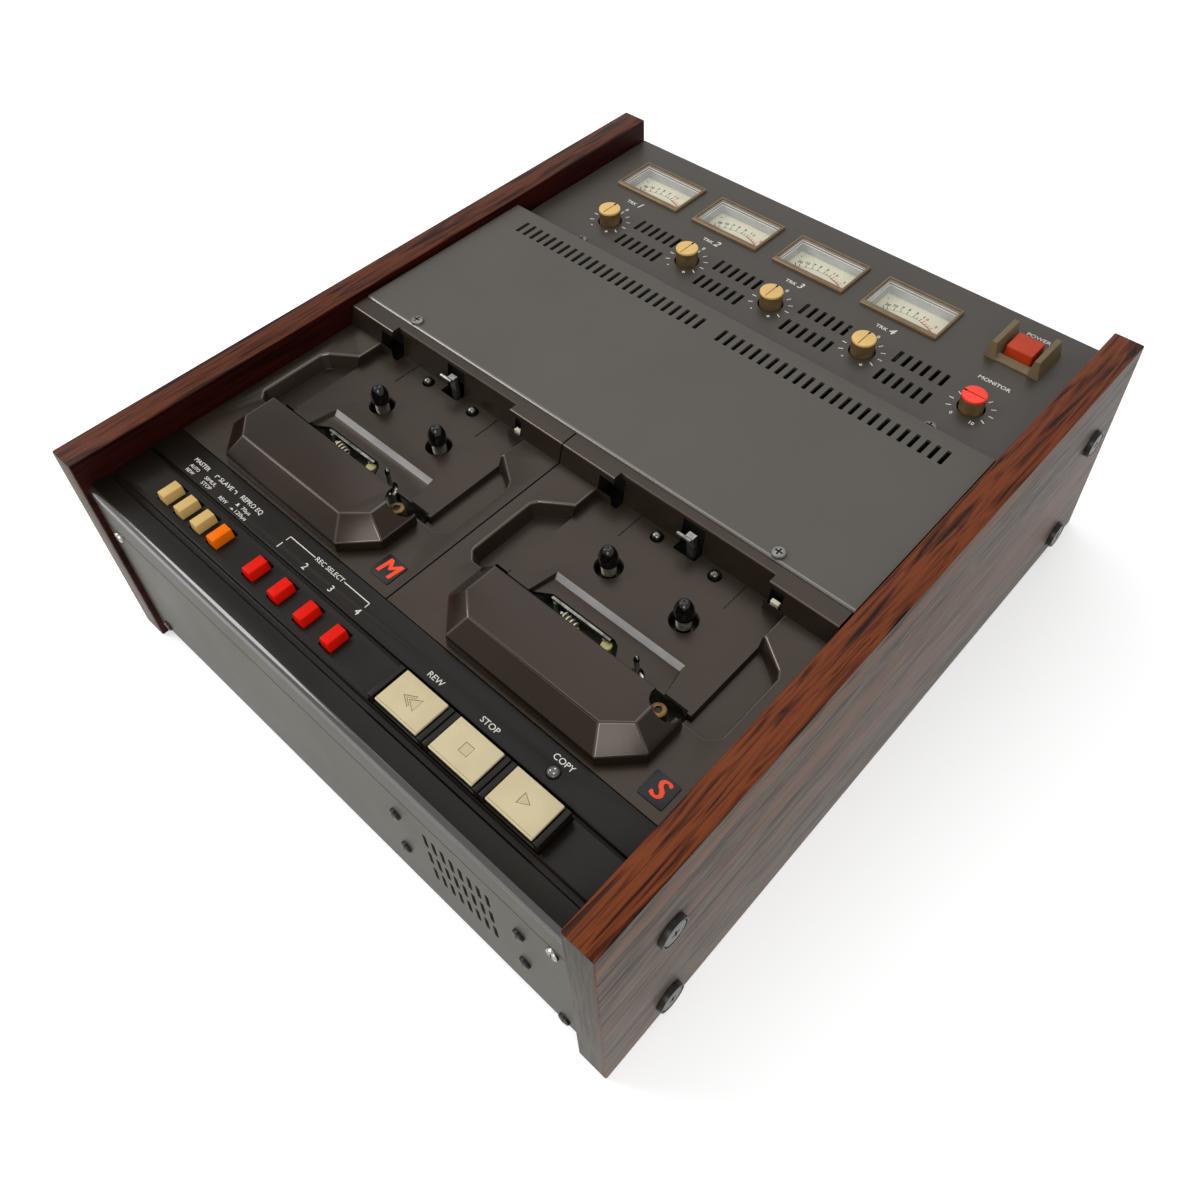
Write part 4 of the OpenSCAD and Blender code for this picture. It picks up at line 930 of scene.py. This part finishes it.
fit(gather("copy_lens", [polish(piece) for piece in lens]), "case", "lens", "copy_lamp")


# Rear cover: folded steel with rounded bends in grey-brown satin paint, with two long rows of vent slots along its
# back. Two screws hold it at the front, and its rear fold stands on the meter panel.
cover_paint = finish("cover_paint", (69, 65, 58), (64, 60, 53), 60, 0.4, relief=0.12, grit=0.5, fleck=0.1)
# Smoother and lighter tone for the rounded front bend; the lighter tone is a painted highlight along the edge.
cover_edge_highlight = finish("cover_edge_highlight", (104, 99, 91), (95, 90, 82), 30, 0.16, metal=0.3, gloss=0.6)
cover_half, cover_front, cover_rear, cover_top, sheet = 153.5, -26.5, 85.5, 129, 1.5
cover_profile = eased([(cover_front, 118.5, 0), (cover_front, cover_top, 1.6), (cover_rear, cover_top, 1.6),
                       (cover_rear, 120.05, 0)])
cover_profile += [(cover_rear - sheet, 120.05), (cover_rear - sheet, cover_top - sheet),
                  (cover_front + sheet, cover_top - sheet), (cover_front + sheet, 118.5)]
cover = beam("cover", cover_profile, -cover_half, cover_half)


def vent(x, y, low, high):
    """Punch for one slot, with eased corners."""
    return slab("punch", eased(corners_of(*slot_size, 0.5, x, y), 2), low, high)


slot_pitch, first_slot, slot_y, slot_size = 5.35, 7.2, 71, (2.3, 10)
cut(cover, gather("punches", [vent(side * (first_slot + slot_pitch * i), slot_y, 120, 132)
                              for side in (-1, 1) for i in range(25)]))
polish(paint(cover, cover_paint, cover_edge_highlight))
# Faces of the front bend take the lighter tone, a painted highlight.
for face in cover.data.polygons:
    if face.normal.z > 0.1 and face.normal.y < -0.1:
        face.material_index = 1
fit(cover, "case", "cover_paint", "rear_cover")


# Meter panel: steel sheet painted a little darker than the rear cover, folded down at the back, with openings for the
# meters, knobs and power button and a block of vent slots beside each level knob.
panel_paint = finish("panel_paint", (58, 52, 46), (53, 47, 41), 60, 0.4, relief=0.12, grit=0.5, fleck=0.1)
meter_top, track_pitch, meter_y, meter_wide, meter_deep = 120, 57.8, 162, 46.2, 28.8
knob_y, monitor_x, power_spot, label_y = 116.8, 124.4, (124.5, 166.4), 138.7
meter_xs, knob_xs = ([first + track_pitch * i for i in range(4)] for first in (-110.8, -111.4))
plate_front, plate_rear, plate_foot, under, over = 80, 196, 108, 110, 125
plate_profile = [(plate_front, meter_top - sheet), (plate_front, meter_top)]
plate_profile += eased([(plate_front, meter_top, 0), (plate_rear, meter_top, 1.6), (plate_rear, plate_foot, 0)])[1:]
plate_profile += [(plate_rear - sheet, plate_foot), (plate_rear - sheet, meter_top - sheet)]
plate = beam("plate", plate_profile, -cover_half, cover_half)
punches = [block("punch", (x - 22.5, meter_y - 13.4, under), (x + 22.5, meter_y + 13.4, over)) for x in meter_xs]
punches += [rod("punch", x, knob_y, under, over, 7, 40) for x in knob_xs + [monitor_x]]
punches += [vent(x + 16 + slot_pitch * i, knob_y - 8.6 + 16.8 * row, under, over)
            for x in knob_xs for i in range(6) for row in (0, 1)]
power_x, power_y = power_spot
punches.append(block("punch", (power_x - 7.9, power_y - 7.6, under), (power_x + 7.9, power_y + 7.6, over)))
cut(plate, gather("punches", punches))
polish(paint(plate, panel_paint))
fit(plate, "case", "cover_paint", "meter_panel")

ticks = []
print_low, print_high = meter_top - ink_under, meter_top + ink_over


def round_dial(x, radius, angle):
    """Place on the panel at an angle clockwise from straight back round a knob."""
    return x + radius * math.sin(math.radians(angle)), knob_y + radius * math.cos(math.radians(angle)), print_high


def dial_ticks(x):
    """Printed ticks round a knob, 30 degrees apart."""
    made = []
    for angle in range(-120, 121, 30):
        tick = block("tick", (-0.275, 9.4, print_low), (0.275, 11.9, print_high))
        tick.data.transform(Matrix.Translation((x / 1000, knob_y / 1000, 0))
                            @ Matrix.Rotation(math.radians(-angle), 4, "Z"))
        made.append(paint(tick, white_print))
    return made


for i, x in enumerate(knob_xs):
    ticks += dial_ticks(x)
    ticks.append(lettering("zero", "0", (x + 0.3, knob_y + 14.3, print_high), 2.2, white_print, 0.07))
    for sign, angle in (("-", -150), ("+", 150)):
        ticks.append(lettering("sign", sign, round_dial(x, 10.8, angle), 2.4, white_print, 0.12))
    ticks.append(lettering("track", "TRK", (x - 2.7, label_y, print_high), 2.3, white_print, 0.05, 7))
    ticks.append(lettering("number", str(i + 1), (x + 3.2, 139.3, print_high), 4.4, white_print, 0.1, slant=0.2))
ticks += dial_ticks(monitor_x)
for text, angle in (("0", -150), ("10", 150)):
    ticks.append(lettering("end", text, round_dial(monitor_x, 11, angle), 2, white_print, 0.05))
ticks.append(lettering("monitor", "MONITOR", (monitor_x, label_y, print_high), 2.4, white_print, 0.05, 17.4))
ticks.append(lettering("power", "POWER", (power_x, 183.2, print_high), 2.4, white_print, 0.05, 13.1))
fit(gather("meter_panel_print", ticks), "case", "cover_paint")


# Meters: bronze frames over clear covers, with silvered trays and cream dials deep inside. Printed scales, red at the
# loud end. The needles swing on pins in a housing that reaches forward under the panel.
frame_bronze = finish("frame_bronze", (116, 96, 70), (102, 83, 58), 8, 0.35, metal=0.3)
tray_silver = finish("tray_silver", (186, 187, 186), (160, 161, 160), 14, 0.3, metal=0.3)
# White for the lit tops of the ledges in the trays and brown for their sides: painted highlight and painted shade.
ledge_highlight = finish("ledge_highlight", (244, 244, 242), (232, 232, 230), 8, 0.25)
ledge_shade = finish("ledge_shade", (132, 120, 102), (116, 104, 88), 8, 0.35)
dial_cream = finish("dial_cream", (216, 212, 186), (208, 203, 177), 14, 0.6, gloss=0.1)
scale_black = finish("scale_black", (20, 19, 17), (14, 13, 12), 3, 0.6, gloss=0.1)
scale_red = finish("scale_red", (196, 52, 46), (184, 44, 40), 3, 0.6, gloss=0.1)
needle_black = finish("needle_black", (20, 19, 18), (14, 13, 12), 3, 0.4)
clear_cover = finish("clear_cover", (236, 240, 240), (230, 234, 234), 30, 0.04)
set_sockets(clear_cover.node_tree.nodes["Principled BSDF"], {"Alpha": 0.06})
dial_z, pin_y, sweep, sight_y = 113, 136.6, 33, 0.65


def oblong(wide, deep, z, radius=0.3, x=0, y=0):
    return level(eased(corners_of(wide, deep, radius, x, y), 3), z)


def sight(wide, deep, z):
    return oblong(wide, deep, z, y=sight_y)


surround = loft("surround", oblong(meter_wide, meter_deep, meter_top - 0.05, 0.6),
                oblong(meter_wide, meter_deep, 121.2, 0.6), oblong(meter_wide - 0.9, meter_deep - 0.9, 121.8, 0.5))
cut(surround, loft("sight", sight(43.2, 24.2, 118), sight(43.2, 24.2, 121.2), sight(43.8, 24.8, 121.9),
                   sight(43.8, 24.8, 124)))
polish(paint(surround, frame_bronze))
tray = loft("tray", oblong(44.8, 26.6, 107.5), oblong(44.8, 26.6, 120.6))
merge(tray, "UNION", block("housing", (-12, pin_y - 3.2 - meter_y, 107.5), (12, -12, 118.2)))
cut(tray, loft("hollow", sight(40.8, 21.8, dial_z), sight(41.2, 22.2, 118.2), sight(42.1, 23.1, 118.25),
               sight(42.1, 23.1, 119.4), sight(43, 24, 119.45), sight(43, 24, 122)))
cut(tray, block("swing", (-10.8, pin_y - 2 - meter_y, dial_z), (10.8, -10, 116.6)))
polish(paint(tray, tray_silver, ledge_highlight, ledge_shade))
# Upward faces of the ledges take the white, a painted highlight, and their sides the brown, painted shade.
for face in tray.data.polygons:
    if 118.1 < face.center.z * 1000 < 120.5:
        face.material_index = 1 if face.normal.z > 0.8 else 2


def scale_piece(radius, angle, long, thick, colour):
    """Stroke of a meter's scale, at an angle clockwise from straight back round the needle's pin."""
    stroke = block("stroke", (-thick / 2, radius, dial_z), (thick / 2, radius + long, dial_z + 0.06))
    stroke.data.transform(Matrix.Translation((0, (pin_y - meter_y) / 1000, 0))
                          @ Matrix.Rotation(math.radians(-angle), 4, "Z"))
    return paint(stroke, colour)


dial_parts = [paint(loft("dial", sight(40.9, 21.9, dial_z - 0.5), sight(40.9, 21.9, dial_z + 0.02)), dial_cream)]
scale_marks = [("20", -28.3), ("10", -21), ("7", -13.6), ("5", -6.5), ("3", 1.6), ("", 5.7), ("1", 9.8), ("0", 14),
               ("", 18.5), ("", 22.6), ("3", 26.6)]
figure_r = 31.8
for text, angle in scale_marks:
    colour = scale_red if angle > 12 else scale_black
    dial_parts.append(scale_piece(27.6, angle, 2.4 if text else 1.7, 0.42, colour))
    if text:
        lean = math.radians(angle)
        spot = (figure_r * math.sin(lean), pin_y - meter_y + figure_r * math.cos(lean), dial_z + 0.05)
        dial_parts.append(lettering("number", text, spot, 2, colour, 0.09))
dial_parts.append(lettering("minus", "-", (-17.8, 7.6, dial_z + 0.05), 2.4, scale_black, 0.1))
for step in range(-36, 36, 2):
    radius, long, colour = (27.2, 0.7, scale_red) if step >= 12 else (27.5, 0.18, scale_black)
    dial_parts.append(scale_piece(radius, step + 1, long, 1.05, colour))
dial = gather("dial_set", dial_parts)
hub = turned("hub", [(1.4, dial_z + 0.6), (1.4, dial_z + 1.4), (1.1, dial_z + 1.6)], sides=24)
pointer = loft("pointer", *[[(-half, y, dial_z + low), (half, y, dial_z + low), (half, y, dial_z + high),
                             (-half, y, dial_z + high)]
                            for half, y, low, high in ((0.4, 0, 0.8, 1.3), (0.26, 29.5, 0.9, 1.2))])
needle = gather("needle", [paint(hub, needle_black), paint(pointer, needle_black)])
needle.data.transform(Matrix.Rotation(math.radians(sweep), 4, "Z"))
window = paint(soften(loft("window", sight(43.1, 24.1, 120.75), sight(43.1, 24.1, 121.15)), 0.1, 2), clear_cover)
shells, trays, windows = [], [], []
for i, x in enumerate(meter_xs):
    shells.append(copy_of(surround, "frame", (x, meter_y, 0)))
    trays += [copy_of(tray, "tray", (x, meter_y, 0)), copy_of(dial, "dial", (x, meter_y, 0))]
    windows.append(copy_of(window, "window", (x, meter_y, 0)))
    node = f"meter_needle_{i + 1}"
    carry(needle, f"pointer_needle_{i + 1}", (x, pin_y, 0), node, "needle", node)
for made in (surround, tray, dial, needle, window):
    bpy.data.objects.remove(made)
fit(gather("bronze_meter_frames", shells), "case", "meter_frame", "meter_frames")
fit(gather("meter_trays_and_dials", trays), "case", "dial", "meter_cases")
fit(gather("clear_meter_covers", windows), "case", "clear_plastic", "meter_windows")


# Level knobs: brown fluted bodies with gold-coloured caps, the monitor knob with a red cap. Each cap has a pointer
# slot that ends in a notch, both painted darker: painted shade. Moulded, and pushed onto the shafts of the controls.
knob_brown = finish("knob_brown", (110, 90, 60), (86, 68, 43), 5, 0.38)
cap_gold = finish("cap_gold", (214, 178, 108), (204, 167, 97), 9, 0.38)
cap_red = finish("cap_red", (240, 58, 40), (230, 48, 32), 9, 0.38)
# Dark tone for the notch at the end of each slot: painted shade.
notch_shade = finish("notch_shade", (60, 46, 26), (48, 36, 20), 3, 0.5)
flutes, flute_deep, body_top, knob_top, knob_r = 36, 0.35, 127.4, 128.7, 6.2


def fluted(radius, z):
    """Ring with shallow flutes."""
    ring = []
    for k in range(2 * flutes):
        reach, angle = radius - flute_deep * (k % 2), math.pi * k / flutes
        ring.append((reach * math.cos(angle), reach * math.sin(angle), z))
    return ring


def knob_with(colour, groove):
    """Knob on its shaft, with a cap of one colour and a pointer slot of another."""
    body = paint(loft("body", fluted(6.0, 114.5), fluted(6.0, body_top)), knob_brown)
    shaft = paint(turned("shaft", [(3, 105.5), (3, 114.6)]), black_steel_and_shade)
    top_rings = [(knob_r - 0.1, 127.3), (knob_r, 127.5), (knob_r, 128.2), (knob_r - 0.2, 128.6),
                 (knob_r - 0.5, knob_top)]
    top = paint(turned("top", top_rings, sides=48), colour)
    cut(top, paint(block("slot", (-0.3, -knob_r + 0.6, knob_top - 0.4), (0.3, knob_r + 1, knob_top + 1)), groove))
    cut(top, paint(block("notch", (-0.6, knob_r - 2.2, knob_top - 0.9), (0.6, knob_r + 1, knob_top + 1)), notch_shade))
    return gather("knob", [polish(body, 15), polish(shaft), polish(top)])


# Darker tones for the pointer slots: painted shade in the grooves.
gold_groove_shade = finish("gold_groove_shade", (176, 140, 78), (160, 126, 68), 4, 0.5)
red_groove_shade = finish("red_groove_shade", (190, 36, 24), (176, 30, 20), 4, 0.5)
level_knob = knob_with(cap_gold, gold_groove_shade)
for i, x in enumerate(knob_xs):
    carry(level_knob, f"fluted_knob_{i + 1}", (x, knob_y, 0), f"track_knob_{i + 1}", "knob", f"track_knob_{i + 1}")
bpy.data.objects.remove(level_knob)
monitor = knob_with(cap_red, red_groove_shade)
fit(copy_of(monitor, "fluted_monitor_knob", (monitor_x, knob_y, 0), 90), "monitor_knob", "red_knob", "monitor_knob")
bpy.data.objects.remove(monitor)


# Power button: an orange-red cap between the tan walls of a guard, which keeps it from being pressed by accident.
# The guard is one moulding with drafted walls and a low front sill, glued to the panel.
guard_tan = finish("guard_tan", (108, 92, 66), (97, 82, 58), 12, 0.42, gloss=0.2, fleck=0.06)
power_orange = finish("power_orange", (172, 54, 15), (162, 47, 12), 10, 0.38, gloss=0.2)
front, rear, sill_rear, guard_foot, guard_top = power_y - 12.4, power_y + 11.5, power_y - 8.1, meter_top - 0.05, 129.6
sill = [(front, guard_foot), (sill_rear, guard_foot), (sill_rear, 122.4), (front, 120.8)]
guard = beam("guard", sill, power_x - 9.5, power_x + 9.5)
for side in (-1, 1):
    rings = [[(power_x + side * 8.5, y, guard_foot), (power_x + side * 14.9, y, guard_foot),
              (power_x + side * 13, y + lean, guard_top), (power_x + side * 10.2, y + lean, guard_top)]
             for y, lean in ((front, 1.2), (rear, -0.4))]
    merge(guard, "UNION", loft("wall", *rings))
soften(guard, 0.5, 3)
fit(polish(paint(guard, guard_tan)), "case", "guard", "power_guard")
power = loft("power", *[oblong(wide, deep, z, radius, *power_spot) for wide, deep, z, radius in
                        ((14.9, 14.3, 113.5, 0.8), (14.9, 14.3, 120.5, 0.8), (14.2, 13.6, 127.2, 0.9))])
soften(power, 0.8, 4)
fit(polish(paint(power, power_orange)), "power_button", "power_orange", "power_button")


# Inside and at the back: circuit boards, motors and transformer under the covers, and the mains inlet in the rear wall.
# Etched board, zinc-plated cans, stacked iron and moulded plastic. They keep their drawn shapes and only take a finish.
board_green = finish("board_green", (34, 54, 38), (26, 43, 30), 12, 0.45)
motor_zinc = finish("motor_zinc", (152, 152, 150), (130, 130, 128), 10, 0.4, metal=0.8)
core_iron = finish("core_iron", (112, 96, 78), (92, 78, 62), 6, 0.5)
inlet_black = finish("inlet_black", (34, 33, 32), (26, 25, 24), 8, 0.45, relief=0.1)
coat("circuit_boards", board_green)
coat("drive_motors", motor_zinc)
coat("transformer", core_iron)
coat("mains_inlet", inlet_black)
